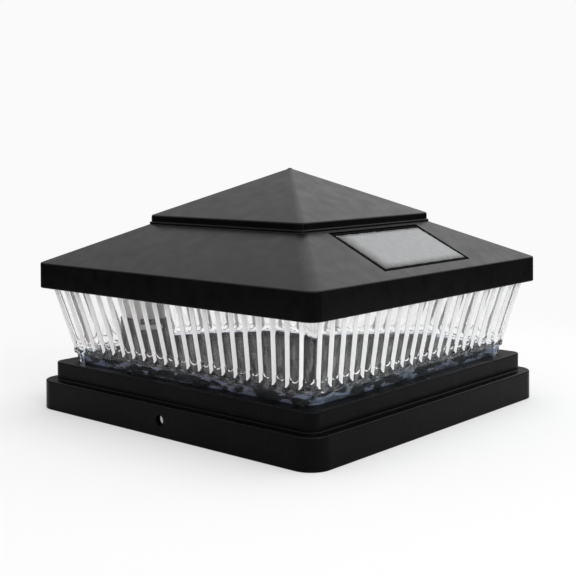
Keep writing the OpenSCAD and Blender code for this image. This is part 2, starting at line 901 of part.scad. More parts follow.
// Places children at the two ears of the battery tube
module tube_ear_places() {
    for (side = [-1, 1])
        translate([-tube_x, -tube_y, 0])
            rotate([0, 0, 45 + 90 * side])
                translate([ear_at, 0, 0])
                    children();
}

// Upright tube for the cell, closed above, with bayonet lugs below
module battery_tube() {
    color(white_plastic)
        difference() {
            union() {
                translate([-tube_x, -tube_y, 0]) {
                    translate([0, 0, lip_z])
                        cylinder(r = tube_outer, h = tube_top - lip_z, $fn = fine);
                    for (a = [0, 180])
                        translate([0, 0, lug_z])
                            rotate([0, 90, a])
                                cylinder(d = lug_d, h = lug_reach, $fn = fine);
                }
                tube_ear_places()
                    translate([0, 0, plate_z + plate_t]) {
                        cylinder(r = ear_r, h = tube_top_t, $fn = fine);
                        translate([-ear_r - tube_wall, -ear_r, 0])
                            cube([ear_r + tube_wall, 2 * ear_r, tube_top_t]);
                    }
            }
            translate([-tube_x, -tube_y, lip_z - 1])
                cylinder(r = tube_inner, h = plate_z + plate_t - lip_z + 1, $fn = fine);
            tube_ear_places()
                translate([0, 0, plate_z])
                    cylinder(d = small_screw_d + 4 * screw_gap, h = tube_top_t + 2, $fn = fine);
            translate([-tube_x, -tube_y, 0]) {
                strip_groove();
                translate([-strip_w / 2 - screw_gap, -plate_t / 2 - screw_gap, plate_z])
                    cube([strip_w + 2 * screw_gap, plate_t + 2 * screw_gap, 5]);
            }
        }
}

// Groove for the negative strip, down the tube and under its lip
module strip_groove() {
    translate([-strip_w / 2 - screw_gap, tube_outer - strip_t - screw_gap, lip_z - 1])
        cube([strip_w + 2 * screw_gap, 2, tray_top - lip_z + 2]);
}

// Small screws through the tube's ears
module tube_screws() {
    color(steel)
        tube_ear_places()
            translate([0, 0, tube_top])
                rotate([180, 0, 0])
                    pan_screw(small_screw_d, tube_screw_l, small_head_d, small_head_h);
}

// Rechargeable cell, nub up
module battery_cell() {
    color([0.2, 0.45, 0.3])
        translate([-tube_x, -tube_y, cell_z])
            rotate_extrude($fn = fine)
                polygon([[0, 0], [cell_d / 2 - 1, 0], [cell_d / 2, 0.6],
                    [cell_d / 2, cell_l - nub_h - 0.6], [cell_d / 2 - 1, cell_l - nub_h],
                    [nub_d / 2, cell_l - nub_h], [nub_d / 2, cell_l], [0, cell_l]]);
}

// Positive contact above the cell, with a tab through the tube's top
module contact_plate() {
    color(steel)
        translate([-tube_x, -tube_y, plate_z]) {
            cylinder(r = tube_inner - 1, h = plate_t, $fn = fine);
            translate([-strip_w / 2, -plate_t / 2, 0])
                cube([strip_w, plate_t, tube_top_t + 2]);
        }
}

// Negative strip: foot under the lip, run up the groove, tab above the tray
module contact_strip() {
    color(steel)
        translate([-tube_x, -tube_y, 0]) {
            translate([-strip_w / 2, tube_inner + 0.1, lip_z - strip_t])
                cube([strip_w, tube_wall - 0.1, strip_t]);
            translate([-strip_w / 2, tube_outer - strip_t, lip_z - strip_t])
                cube([strip_w, strip_t, tray_top + 1 - lip_z + strip_t]);
        }
}

// Round cap with J slots for the lugs and ribs for the fingers
module battery_cap() {
    slot_h = lug_d + 2 * slot_gap;
    slack = asin((lug_d / 2 + slot_gap) / cap_inner);
    reach = cap_outer + 4;
    color(black_plastic)
        translate([-tube_x, -tube_y, 0])
            difference() {
                union() {
                    translate([0, 0, cap_z])
                        cylinder(r = cap_outer, h = cap_h, $fn = fine);
                    for (i = [0:grip_count - 1])
                        rotate([0, 0, 360 * (i + 0.5) / grip_count])
                            translate([cap_outer, 0, cap_z + grip_foot])
                                cylinder(r = grip_r, h = grip_h, $fn = hull_fn);
                }
                translate([0, 0, disc_z])
                    cylinder(r = cap_inner, h = cap_h, $fn = fine);
                for (a = [0, 180])
                    rotate([0, 0, a]) {
                        translate([0, 0, lug_z - slot_h / 2])
                            linear_extrude(slot_h)
                                polygon([[0, 0], reach * [cos(-cap_turn), sin(-cap_turn)],
                                    reach * [cos(-cap_turn / 2), sin(-cap_turn / 2)],
                                    reach * [cos(slack), sin(slack)]]);
                        rotate([0, 0, -cap_turn])
                            translate([0, -slot_h / 2, lug_z - slot_h / 2 - detent])
                                cube([reach, slot_h, cap_rim_z - lug_z + slot_h]);
                    }
            }
}

// Contact disc in the bottom of the cap
module contact_disc() {
    color(steel)
        translate([-tube_x, -tube_y, disc_z])
            cylinder(r = cap_inner - 0.2, h = disc_t, $fn = fine);
}

// Coil spring that presses the cell up against its contact
module contact_spring() {
    steps = 12;
    coil_foot_r = tube_inner - 2.4;
    coil_head_r = coil_foot_r - 1.6;
    rise = spring_h - spring_wire - 2 * screw_gap;
    count = spring_turns * steps;
    path = [for (i = [0:count])
        let (t = i / count, r = coil_foot_r + (coil_head_r - coil_foot_r) * t)
        [r * cos(360 * i / steps), r * sin(360 * i / steps),
            spring_z + spring_wire / 2 + screw_gap + rise * t]];
    color(steel)
        translate([-tube_x, -tube_y, 0])
            swept_tube(path, spring_wire / 2, 6, [0, 0, 1]);
}

// ---------- wires ----------

// Where the panel's wires leave the roof, and the way they leave it
panel_run = recess_from_eave + recess_w / 2;
panel_exit = [eave_half - panel_run * cos(roof_pitch) - (recess_depth + wire_clear) *
    sin(roof_pitch), 0, eave_z + panel_run * sin(roof_pitch) - (recess_depth - wire_clear) *
    cos(roof_pitch)];
panel_in = [-sin(roof_pitch), 0, -cos(roof_pitch)];
wire_r = wire_d / 2;

// Wire between two points: it leaves along its first handle and drops straight onto the board
module wire(start, lead, stop, ref) {
    swept_tube(curve(start, start + lead, stop + [0, 0, wire_drop], stop, wire_steps), wire_r, 6,
        ref);
}

// Wire from the panel down to the board, on one side of the middle
module panel_wire(side) {
    wire(panel_exit + [0, side * (wire_r + wire_clear), 0], panel_lead * panel_in,
        [board_l / 2 - pad_inset, side * pad_step, board_top + solder_gap], [0, 1, 0]);
}

module panel_wire_red() {
    color("firebrick") panel_wire(1);
}

module panel_wire_black() {
    color([0.1, 0.1, 0.1]) panel_wire(-1);
}

// Wire from the positive tab to the board
module battery_wire_red() {
    color("firebrick")
        wire([-tube_x + strip_w / 2 + wire_r + contact_gap, -tube_y,
                plate_z + tube_top_t + 2 - wire_r], [tab_lead, 0, tab_lead],
            [-board_l / 2 + 2 * pad_inset, -board_w / 2 + pad_step, board_top + solder_gap],
            [1, -0.4, 0]);
}

// Wire from the negative strip to the board
module battery_wire_black() {
    color([0.1, 0.1, 0.1])
        wire([-tube_x, -tube_y + tube_outer + wire_r + contact_gap, tray_top + wire_r +
                contact_gap], [-tab_lead / 2, 1.5 * tab_lead, tab_lead],
            [-board_l / 2 + pad_inset, -board_w / 2 + 2 * pad_step, board_top + solder_gap],
            [1, -0.4, 0]);
}

base_housing();
lens();
roof_shell();
panel_sealant();
panel_board();
solar_cells();
panel_resin();
reflector_tray();
tray_screws();
circuit_board();
board_screws();
leds();
charge_chip();
inductor();
capacitor();
switch_body();
switch_knob();
battery_tube();
tube_screws();
battery_cell();
contact_plate();
contact_strip();
battery_cap();
contact_disc();
contact_spring();
panel_wire_red();
panel_wire_black();
battery_wire_red();
battery_wire_black();
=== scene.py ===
import math

import bmesh
import bpy
from mathutils import Matrix, Vector


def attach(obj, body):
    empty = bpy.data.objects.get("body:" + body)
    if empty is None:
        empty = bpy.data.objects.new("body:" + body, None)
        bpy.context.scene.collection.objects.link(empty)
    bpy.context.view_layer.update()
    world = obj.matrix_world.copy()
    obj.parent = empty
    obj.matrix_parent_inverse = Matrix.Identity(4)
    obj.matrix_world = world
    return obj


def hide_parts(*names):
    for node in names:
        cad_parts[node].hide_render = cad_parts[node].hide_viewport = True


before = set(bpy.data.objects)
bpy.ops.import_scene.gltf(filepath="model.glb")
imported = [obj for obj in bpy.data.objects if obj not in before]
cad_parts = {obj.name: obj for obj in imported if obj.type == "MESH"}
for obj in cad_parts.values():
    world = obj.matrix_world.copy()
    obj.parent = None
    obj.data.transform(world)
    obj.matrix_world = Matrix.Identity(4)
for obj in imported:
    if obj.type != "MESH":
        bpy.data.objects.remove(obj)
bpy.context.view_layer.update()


# ---------- base housing ----------
# The black skirt that drops over the post. One ABS moulding in two tiers, with a floor inside the
# lens, a kerb that centres it, slots that take its clip tabs, ribs under the floor, and a screw
# hole low in the middle of the front and back.

MM, WELD = 0.001, 1e-7
LOWER_HALF, LOWER_DRAFT, LOWER_CENTRE = 79.98, 79.66, 71.0
UPPER_HALF, UPPER_DRAFT, UPPER_CENTRE = 74.9, 74.8, 70.3
SOCKET_HALF, SOCKET_CENTRE = 77.5, 73.5
WELL_HALF, WELL_CENTRE = 72.4, 69.05
TIER_Z, FLOOR_Z = 12.8, 20.6
SHOULDER_UNDER, FLOOR_UNDER = 10.4, 18.2
KERB_HALF, KERB_INNER, KERB_TOP, KERB_CENTRE = 65.1, 63.5, 24.5, 62.3
TAB_HALF, TAB_WIDTH, TAB_THICK, TAB_BARB, TAB_REACH, TAB_GAP = 67.85, 14.0, 1.7, 0.8, 6.4, 0.3
SIDE_HOLE_Z, SIDE_HOLE = 6.9, [(2.0, 74), (2.0, 79.3), (2.5, 81), (2.5, 84)]
STIFFENER_AT, STIFFENER_HALF, STIFFENER_FOOT = 24.0, 0.8, 14.8


def square_ring(half, centre, z, steps=10):
    """One level of a square with round corners, counter-clockwise; centre is the corner's centre"""
    r, ring = half - centre, []
    for k in range(4):
        sx, sy = (1, -1, -1, 1)[k], (1, 1, -1, -1)[k]
        for i in range(steps + 1):
            a = math.pi / 2 * (k + i / steps)
            ring.append((sx * centre + r * math.cos(a), sy * centre + r * math.sin(a), z))
    return ring


def eased(profile, steps=4):
    """A profile of (half, z, fillet, corner centre) with its corners turned into arcs"""
    out = []
    for i, (x, z, fillet, centre) in enumerate(profile):
        if not fillet:
            out.append((x, z, centre))
            continue
        p = Vector((x, z))
        a = (Vector(profile[i - 1][:2]) - p).normalized()
        b = (Vector(profile[i + 1][:2]) - p).normalized()
        half_angle = a.angle(b) / 2
        heart = p + (a + b).normalized() * fillet / math.sin(half_angle)
        reach = fillet / math.tan(half_angle)
        first, last = p + a * reach - heart, p + b * reach - heart
        turn = first.angle_signed(last)
        for k in range(steps + 1):
            v = Matrix.Rotation(-turn * k / steps, 2) @ first + heart
            out.append((v.x, v.y, centre))
    return out


def placed(name, data):
    """A new object in the scene"""
    thing = bpy.data.objects.new(name, data)
    bpy.context.scene.collection.objects.link(thing)
    return thing


def shell(name, verts, faces, places=None):
    """A closed mesh from points in millimetres, welded, faces outwards; places go in an attribute"""
    mesh = bpy.data.meshes.new(name)
    mesh.from_pydata([Vector(v) * MM for v in verts], [], faces)
    if places:
        kept = mesh.attributes.new("flute", "FLOAT_VECTOR", "POINT")
        kept.data.foreach_set("vector", [value for place in places for value in place])
    bm = bmesh.new()
    bm.from_mesh(mesh)
    bmesh.ops.remove_doubles(bm, verts=bm.verts, dist=WELD)
    bmesh.ops.dissolve_degenerate(bm, edges=bm.edges, dist=WELD)
    bmesh.ops.recalc_face_normals(bm, faces=bm.faces)
    bm.to_mesh(mesh)
    bm.free()
    return placed(name, mesh)


def loft(name, rings, lids=True, places=None):
    """A closed shell through rings of equal count, with flat lids, or else joined last to first"""
    n, count = len(rings[0]), len(rings)
    faces = [(i * n + k, i * n + (k + 1) % n, (i + 1) % count * n + (k + 1) % n,
              (i + 1) % count * n + k) for i in range(count - lids) for k in range(n)]
    if lids:
        faces += [tuple(range(n)), tuple(range((count - 1) * n, count * n))]
    return shell(name, [p for ring in rings for p in ring], faces, places)


def block(name, low, high, place=None):
    """A box between two corners, in millimetres, then put in its place"""
    verts = [(x, y, z) for x in (low[0], high[0]) for y in (low[1], high[1])
             for z in (low[2], high[2])]
    if place is not None:
        verts = [place @ Vector(v) for v in verts]
    return shell(name, verts, [(0, 1, 3, 2), (4, 6, 7, 5), (0, 4, 5, 1), (2, 3, 7, 6),
                               (0, 2, 6, 4), (1, 5, 7, 3)])


def turned(name, profile, steps=48, place=None):
    """A shape turned about Z from (radius, z) points, in millimetres, then put in its place"""
    rings = [[(r * math.cos(2 * math.pi * k / steps), r * math.sin(2 * math.pi * k / steps), z)
              for k in range(steps)] for r, z in profile]
    if place is not None:
        rings = [[place @ Vector(p) for p in ring] for ring in rings]
    return loft(name, rings)


def worked(piece, tools, operation="DIFFERENCE"):
    """Cuts the tools out of a piece, or joins them to it, and clears the tools away"""
    for tool in tools:
        step = piece.modifiers.new("work", "BOOLEAN")
        step.operation, step.solver, step.object = operation, "EXACT", tool
    applied(piece)
    for tool in tools:
        bpy.data.objects.remove(tool)
    return piece


def applied(piece):
    """Turns a piece and its modifiers into a plain mesh"""
    graph = bpy.context.evaluated_depsgraph_get()
    graph.update()
    mesh = bpy.data.meshes.new_from_object(piece.evaluated_get(graph))
    piece.modifiers.clear()
    piece.data = mesh
    return piece


def smoothed(piece, sharp=40, weighted=False):
    """Smooth faces with creases at sharp edges; weighted keeps flats flat beside their fillets"""
    piece.data.shade_smooth()
    piece.data.set_sharp_from_angle(angle=math.radians(sharp))
    if weighted:
        flats = piece.modifiers.new("flats", "WEIGHTED_NORMAL")
        flats.keep_sharp, flats.weight = True, 80
    return piece


def quarters(k):
    """A turn about Z by quarter turns"""
    return Matrix.Rotation(math.pi / 2 * k, 4, "Z")


def joined(tree, sockets, values):
    """Sets each input to its value, or joins it to its output"""
    for socket, value in zip(sockets, values):
        if isinstance(value, bpy.types.NodeSocket):
            tree.links.new(value, socket)
        else:
            socket.default_value = value


def fed(tree, node, inputs):
    """A node with its inputs set or joined by name"""
    joined(tree, [node.inputs[key.replace("_", " ")] for key in inputs], inputs.values())
    return node


def wired(mat, kind, **inputs):
    """A new node in a material"""
    return fed(mat.node_tree, mat.node_tree.nodes.new("ShaderNode" + kind), inputs)


def ranged(mat, value, start, end, low=0.0, high=1.0, smooth=False):
    """A number that goes from low to high while another goes from start to end"""
    node = wired(mat, "MapRange", Value=value, From_Min=start, From_Max=end, To_Min=low,
                 To_Max=high)
    if smooth:
        node.interpolation_type = "SMOOTHSTEP"
    return node.outputs["Result"]


def noise(mat, spot, scale, detail):
    """A cloudy number between 0 and 1"""
    return wired(mat, "TexNoise", Vector=spot, Scale=scale, Detail=detail).outputs["Fac"]


def fresh(name):
    """A new material, and the place on its piece"""
    mat = bpy.data.materials.new(name)
    mat.use_nodes = True
    return mat, wired(mat, "TexCoord").outputs["Object"]


def finished(mat, **sockets):
    """Sets or joins the sockets of a material's own shader"""
    fed(mat.node_tree, mat.node_tree.nodes["Principled BSDF"], sockets)
    return mat


def plastic(name, colour, drifted, patch, rough, rough_span, grain, grain_depth, **sockets):
    """A moulded finish: colour that drifts in patches, uneven gloss, and a fine grain in bump"""
    mat, spot = fresh(name)
    tint = wired(mat, "ValToRGB", Fac=noise(mat, spot, 1 / (patch * MM), 4.0))
    for stop, position, tone in zip(tint.color_ramp.elements, (0.35, 0.68), (colour, drifted)):
        stop.position, stop.color = position, (*tone, 1)
    gloss = ranged(mat, noise(mat, spot, 3.3 / (patch * MM), 6.0), 0.3, 0.7, rough - rough_span,
                   rough + rough_span)
    relief = wired(mat, "Bump", Height=noise(mat, spot, 1 / (grain * MM), 3.0), Strength=0.6,
                   Distance=grain_depth * MM)
    return finished(mat, Base_Color=tint.outputs["Color"], Roughness=gloss,
                    Normal=relief.outputs["Normal"], **sockets)


base_rings = [square_ring(x, c, z) for x, z, c in eased([
    (WELL_HALF - 0.3, FLOOR_UNDER, 0, WELL_CENTRE),
    (WELL_HALF, SHOULDER_UNDER, 0, WELL_CENTRE),
    (SOCKET_HALF, SHOULDER_UNDER, 0.6, SOCKET_CENTRE),
    (SOCKET_HALF, 0, 0.35, SOCKET_CENTRE),
    (LOWER_HALF, 0, 0.45, LOWER_CENTRE),
    (LOWER_DRAFT, TIER_Z, 0.7, LOWER_CENTRE),
    (UPPER_HALF, TIER_Z, 0.5, UPPER_CENTRE),
    (UPPER_DRAFT, FLOOR_Z, 0.7, UPPER_CENTRE),
    (KERB_HALF, FLOOR_Z, 0.3, KERB_CENTRE),
    (KERB_HALF, KERB_TOP, 0.3, KERB_CENTRE),
    (KERB_INNER, KERB_TOP, 0.3, KERB_CENTRE),
    (KERB_INNER, FLOOR_Z, 0, KERB_CENTRE)])]
base_housing = loft("housing_base", base_rings)
floor_ribs = [block("rib", (x - STIFFENER_HALF, -WELL_HALF - 0.5, STIFFENER_FOOT),
                    (x + STIFFENER_HALF, WELL_HALF + 0.5, FLOOR_UNDER + 0.3), quarters(k))
              for x in (-STIFFENER_AT, STIFFENER_AT) for k in (0, 1)]
worked(base_housing, floor_ribs, "UNION")
slot_half = TAB_WIDTH / 2 + TAB_GAP
slots = [block("slot", (-slot_half, -TAB_HALF - TAB_BARB - TAB_GAP, FLOOR_UNDER - 1),
               (slot_half, -TAB_HALF + TAB_THICK + TAB_GAP, FLOOR_Z + 0.5), quarters(k))
         for k in range(4)]
side_holes = [turned("hole", SIDE_HOLE, 40, Matrix.Translation((0, 0, SIDE_HOLE_Z))
                     @ Matrix.Rotation(side, 4, "X")) for side in (math.pi / 2, -math.pi / 2)]
worked(base_housing, slots + side_holes)
smoothed(base_housing, 35, weighted=True)
black_skirt = plastic("black_skirt", (0.0012, 0.0012, 0.0013), (0.0022, 0.0022, 0.0024), 22, 0.3,
                      0.05, 0.35, 0.012, Specular_IOR_Level=0.05)
black_matt = plastic("black_matt", (0.0016, 0.0016, 0.0017), (0.0032, 0.0032, 0.0034), 14, 0.5,
                     0.1, 0.5, 0.03, Specular_IOR_Level=0.03)
for finish in (black_skirt, black_matt):
    base_housing.data.materials.append(finish)
for face in base_housing.data.polygons:
    under_lens = max(abs(face.center.x), abs(face.center.y)) < (KERB_HALF + 0.4) * MM
    face.material_index = int(under_lens and face.center.z > (FLOOR_Z - 1) * MM)
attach(base_housing, "base")
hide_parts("base_housing")


# ---------- lens ----------
# The clear acrylic side moulding, flared outwards as it rises. Flutes with round feet, between
# narrow ribs, run all the way round it above a plain rim. Four clip tabs under the rim snap into
# the base, and a collar above goes up inside the roof.

FLARE, FLARE_SHARE = math.radians(13.15), 0.96
RIM_FOOT, RIM_HALF, RIM_INNER, FOOT_INNER, FLARE_Z, FLARE_H = 68.6, 69.8, 66.3, 65.4, 24.7, 28.9
COLLAR_HALF, COLLAR_INNER, COLLAR_TOP, LENS_CORNER, CORNER_INNER = 76.35, 73.15, 59.6, 6.0, 2.8
SIDE_FLUTES, CORNER_FLUTE = 20, 1.25
RIB_HALF, FLUTE_DEPTH, FLUTE_FOOT = 0.95, 1.35, 1.3
STEP_UP, STEP_RADIUS, STEP_DEPTH, STEP_WIDE, FOOT_REACH = 5.15, 2.0, 0.4, 0.35, 2.3
RIB_SHAPE = [(-0.95, 0.0), (-0.8, 0.02), (-0.68, 0.1), (-0.06, 0.93), (0.06, 0.99), (0.25, 1.0)]
SLOPE_RUN = FLARE_H / math.cos(FLARE)
HOOK_AT, HOOK_LONG, HOOK_Z, HOOK_HIGH, HOOK_GAP, HOOK_OUT = 38.0, 8.0, 57.6, 1.8, 0.3, 1.4


def round_square(half, r, way):
    """Point and outward direction at a distance round a square, from the middle of its -Y side"""
    flat, arc = half - r, math.pi / 2 * r
    side = 2 * flat + arc
    way += flat
    k = math.floor(way / side)
    way -= k * side
    if way <= 2 * flat:
        point, out = Vector((way - flat, -half, 0)), Vector((0, -1, 0))
    else:
        a = (way - 2 * flat) / r - math.pi / 2
        out = Vector((math.cos(a), math.sin(a), 0))
        point = Vector((flat, -flat, 0)) + out * r
    return quarters(k) @ point, quarters(k) @ out


def depth_at(s):
    """Share of the flute's depth at a distance inside its edge"""
    for (s0, d0), (s1, d1) in zip(RIB_SHAPE, RIB_SHAPE[1:]):
        if s <= s1:
            return d0 + (d1 - d0) * max(0.0, (s - s0) / (s1 - s0))
    return 1.0


def tongue(x, up):
    """Height of the raised tongue that ends in a curve across the foot of a flute"""
    away = math.hypot(x, min(0.0, up - STEP_UP)) - STEP_RADIUS
    return STEP_DEPTH * min(1.0, max(0.0, away / STEP_WIDE + 0.5)) if up < STEP_UP else 0.0


def flute(up, wide):
    """Points (along, depth) across one flute at a height above its foot, rib to rib"""
    foot_w = wide / 2 - RIB_HALF
    below = max(0.0, foot_w - up)
    across = [math.sqrt((foot_w - s) ** 2 - below ** 2) for s, d in RIB_SHAPE if foot_w - s > below]
    missing = len(RIB_SHAPE) - len(across)
    inner = across[-1] if across else wide / 2
    across += [inner * (1 - (i + 1) / (missing + 2)) for i in range(missing)]
    row = [-x for x in across[1:]]
    row += [across[-1] * t for t in (-0.85, -0.66, -0.35, 0, 0.35, 0.66, 0.85)] + across[::-1]
    out = []
    for x in row:
        depth = depth_at(foot_w - math.hypot(x, below))
        out.append((x, depth * (FLUTE_DEPTH - tongue(x, up))))
    return out


def lens_ring(half, r, z, y=-9.0):
    """One level of the lens, with its flutes if it is y up the slope, and each point's place"""
    side = 2 * (half - r) + math.pi / 2 * r
    pitch = side / (SIDE_FLUTES + CORNER_FLUTE)
    flutes = [((j - (SIDE_FLUTES - 1) / 2) * pitch, pitch) for j in range(SIDE_FLUTES)]
    flutes.append((side / 2, pitch * CORNER_FLUTE))
    ring, places = [], []
    for k in range(4):
        for middle, wide in flutes:
            for x, depth in flute(y - FLUTE_FOOT, wide):
                point, out = round_square(half, r, side * k + middle + x)
                ring.append(point - out * depth + Vector((0, 0, z)))
                places.append((abs(x), y - FLUTE_FOOT, wide / 2 - abs(x)))
    return ring, places


def slope_level(y):
    """Half width and height at a distance y up the flared side, which ends within the collar"""
    return RIM_HALF + y * math.sin(FLARE) * FLARE_SHARE, FLARE_Z + y * math.cos(FLARE)


levels = [0.0] + [FLUTE_FOOT + s for s, depth in RIB_SHAPE]
levels += [FLUTE_FOOT + FOOT_REACH * t for t in (0.3, 0.5, 0.75, 1.0, 1.35)]
levels += [FLUTE_FOOT + STEP_UP + t for t in (-2.2, -2.0, -1.8, -1.5, -1.1, -0.7, -0.3, 0.0)]
levels += [SLOPE_RUN - (SLOPE_RUN - FLUTE_FOOT - STEP_UP) * t for t in (0.7, 0.4, 0.2, 0)]
rings = [lens_ring(FOOT_INNER, CORNER_INNER, FLOOR_Z),
         lens_ring(RIM_FOOT - 0.25, LENS_CORNER, FLOOR_Z),
         lens_ring(RIM_FOOT, LENS_CORNER, FLOOR_Z + 0.25),
         lens_ring(RIM_HALF - 0.7, LENS_CORNER, FLARE_Z - 0.15)]
for y in sorted(levels):
    half, z = slope_level(y)
    rings.append(lens_ring(half, LENS_CORNER, z, y))
rings += [lens_ring(COLLAR_HALF, LENS_CORNER, FLARE_Z + FLARE_H + 0.6),
          lens_ring(COLLAR_HALF, LENS_CORNER, COLLAR_TOP),
          lens_ring(COLLAR_INNER, CORNER_INNER, COLLAR_TOP),
          lens_ring(COLLAR_INNER, CORNER_INNER, FLARE_Z + FLARE_H),
          lens_ring((COLLAR_INNER + RIM_INNER) / 2, CORNER_INNER, FLARE_Z + FLARE_H / 2),
          lens_ring(RIM_INNER, CORNER_INNER, FLARE_Z)]
lens = loft("lens_fluted", [points for points, places in rings], lids=False,
            places=[place for points, places in rings for place in places])
tab_foot, tab_under = FLOOR_Z - TAB_REACH, FLOOR_UNDER - TAB_GAP
tab_profile = [(-TAB_HALF, FLOOR_Z + 1), (-TAB_HALF, tab_under), (-TAB_HALF - TAB_BARB, tab_under),
               (-TAB_HALF - TAB_BARB, tab_under - 1), (-TAB_HALF, tab_foot),
               (-TAB_HALF + TAB_THICK, tab_foot), (-TAB_HALF + TAB_THICK, FLOOR_Z + 1)]


def bar(name, profile, low, high, place):
    """A (y, z) profile run along X from low to high, then put in its place"""
    return loft(name, [[place @ Vector((x, y, z)) for y, z in profile] for x in (low, high)])


def reckoned(mat, operation, *values):
    """A sum in a material, on numbers or other outputs"""
    node = wired(mat, "Math")
    node.operation = operation
    joined(mat.node_tree, node.inputs, values)
    return node.outputs["Value"]


def product(mat, first, second):
    """Two numbers times each other, such as two masks that both have to hold"""
    return reckoned(mat, "MULTIPLY", first, second)


def blended(mat, share, first, second):
    """A number between two others"""
    return wired(mat, "Mix", Factor=share, A=first, B=second).outputs["Result"]


acrylic, spot = fresh("clear_acrylic")
flute_place = wired(acrylic, "Attribute")
flute_place.attribute_name = "flute"
place = wired(acrylic, "SeparateXYZ", Vector=flute_place.outputs["Vector"])
across, up, from_rib = (place.outputs[axis] for axis in "XYZ")

# The ribs, nearly opaque white and a little rough: painted light standing in for the light their
# flanks bend out
reach = ranged(acrylic, up, -0.1, 2.5, 0.0, RIB_HALF)
edge = reckoned(acrylic, "SUBTRACT", from_rib, reach)
painted_bright_rib = product(acrylic, ranged(acrylic, edge, 0.08, -0.06), ranged(acrylic, up, -0.3, 0.2))

# A painted glint: a broken bright line round the edge of each tongue
under_step = reckoned(acrylic, "MINIMUM", reckoned(acrylic, "SUBTRACT", up, STEP_UP), 0.0)
from_step = reckoned(acrylic, "SQRT", reckoned(
    acrylic, "ADD", product(acrylic, across, across), product(acrylic, under_step, under_step)))
beside = reckoned(acrylic, "ABSOLUTE", reckoned(acrylic, "SUBTRACT", from_step, STEP_RADIUS))
glint = product(acrylic, ranged(acrylic, beside, 0.3, 0.14),
                ranged(acrylic, noise(acrylic, spot, 750.0, 1.0), 0.4, 0.52))
glint = product(acrylic, glint, ranged(acrylic, up, STEP_UP + 0.6, STEP_UP - 1.0))

# Painted reflections: faint upright light streaks along the middle of each flute, below its top, where
# the acrylic is made milky
drawn = wired(acrylic, "Mapping", Vector=spot, Scale=(1.0, 1.0, 0.13)).outputs["Vector"]
mid_flute = product(acrylic, ranged(acrylic, across, 1.7, 0.9), ranged(acrylic, up, 21.0, 12.0))
painted_streak = product(acrylic, mid_flute,
                 ranged(acrylic, noise(acrylic, drawn, 560.0, 3.0), 0.46, 0.64))

# Painted refraction: the rim gets a cooler blue-grey cast than the flutes, with darker blue-grey bits
# in it, for light bent through its thickness
height = wired(acrylic, "SeparateXYZ", Vector=spot).outputs["Z"]
above_rim = ranged(acrylic, height, (FLARE_Z - 0.3) * MM, (FLARE_Z + 0.5) * MM)
flat = wired(acrylic, "Mapping", Vector=spot, Scale=(0.5, 0.5, 1.6)).outputs["Vector"]
rim_painted_bit = ranged(acrylic, noise(acrylic, flat, 230.0, 3.0), 0.52, 0.6)
rim_painted_tint = wired(acrylic, "ValToRGB", Fac=reckoned(acrylic, "MAXIMUM", reckoned(
    acrylic, "SUBTRACT", 0.5, product(acrylic, rim_painted_bit, 0.5)), above_rim))
rim_painted_tint.color_ramp.elements[0].color = (0.3, 0.36, 0.5, 1)
rim_painted_tint.color_ramp.elements[1].color = (0.995, 0.995, 0.995, 1)
rim_painted_tint.color_ramp.elements.new(0.5).color = (0.82, 0.87, 0.93, 1)

share = blended(acrylic, painted_streak, 1.0, 0.86)
share = blended(acrylic, painted_bright_rib, share, 0.12)
share = blended(acrylic, glint, share, 0.1)
share = blended(acrylic, above_rim, blended(acrylic, rim_painted_bit, 0.98, 0.5), share)
waves = wired(acrylic, "Bump", Height=noise(acrylic, spot, 90.0, 1.0), Strength=0.6,
              Distance=0.12 * MM)
finished(acrylic, Base_Color=rim_painted_tint.outputs["Color"], Transmission_Weight=share,
         Roughness=blended(acrylic, painted_bright_rib, 0.03, 0.3), Normal=waves.outputs["Normal"],
         IOR=1.49, Specular_IOR_Level=0.3, Specular_Tint=(0.5, 0.5, 0.52, 1))
worked(lens, [bar("tab", tab_profile, -TAB_WIDTH / 2, TAB_WIDTH / 2, quarters(k))
              for k in range(4)], "UNION")
window_half = HOOK_LONG / 2 + HOOK_GAP
windows = [block("window", (x - window_half, -COLLAR_HALF - 1, HOOK_Z - HOOK_GAP),
                 (x + window_half, 1 - COLLAR_INNER, COLLAR_TOP + HOOK_GAP), quarters(k))
           for x in (-HOOK_AT, HOOK_AT) for k in range(4)]
worked(lens, windows)
smoothed(lens)
lens.data.materials.append(acrylic)
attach(lens, "head")
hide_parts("lens")


# ---------- roof shell ----------
# The black hip roof: a deep fascia, four slopes at 25 degrees, a stepped band on a thin plinth
# and a low pyramid, one hollow ABS moulding. A recess in the right slope takes the solar panel,
# and four bosses inside take the screws of the tray.

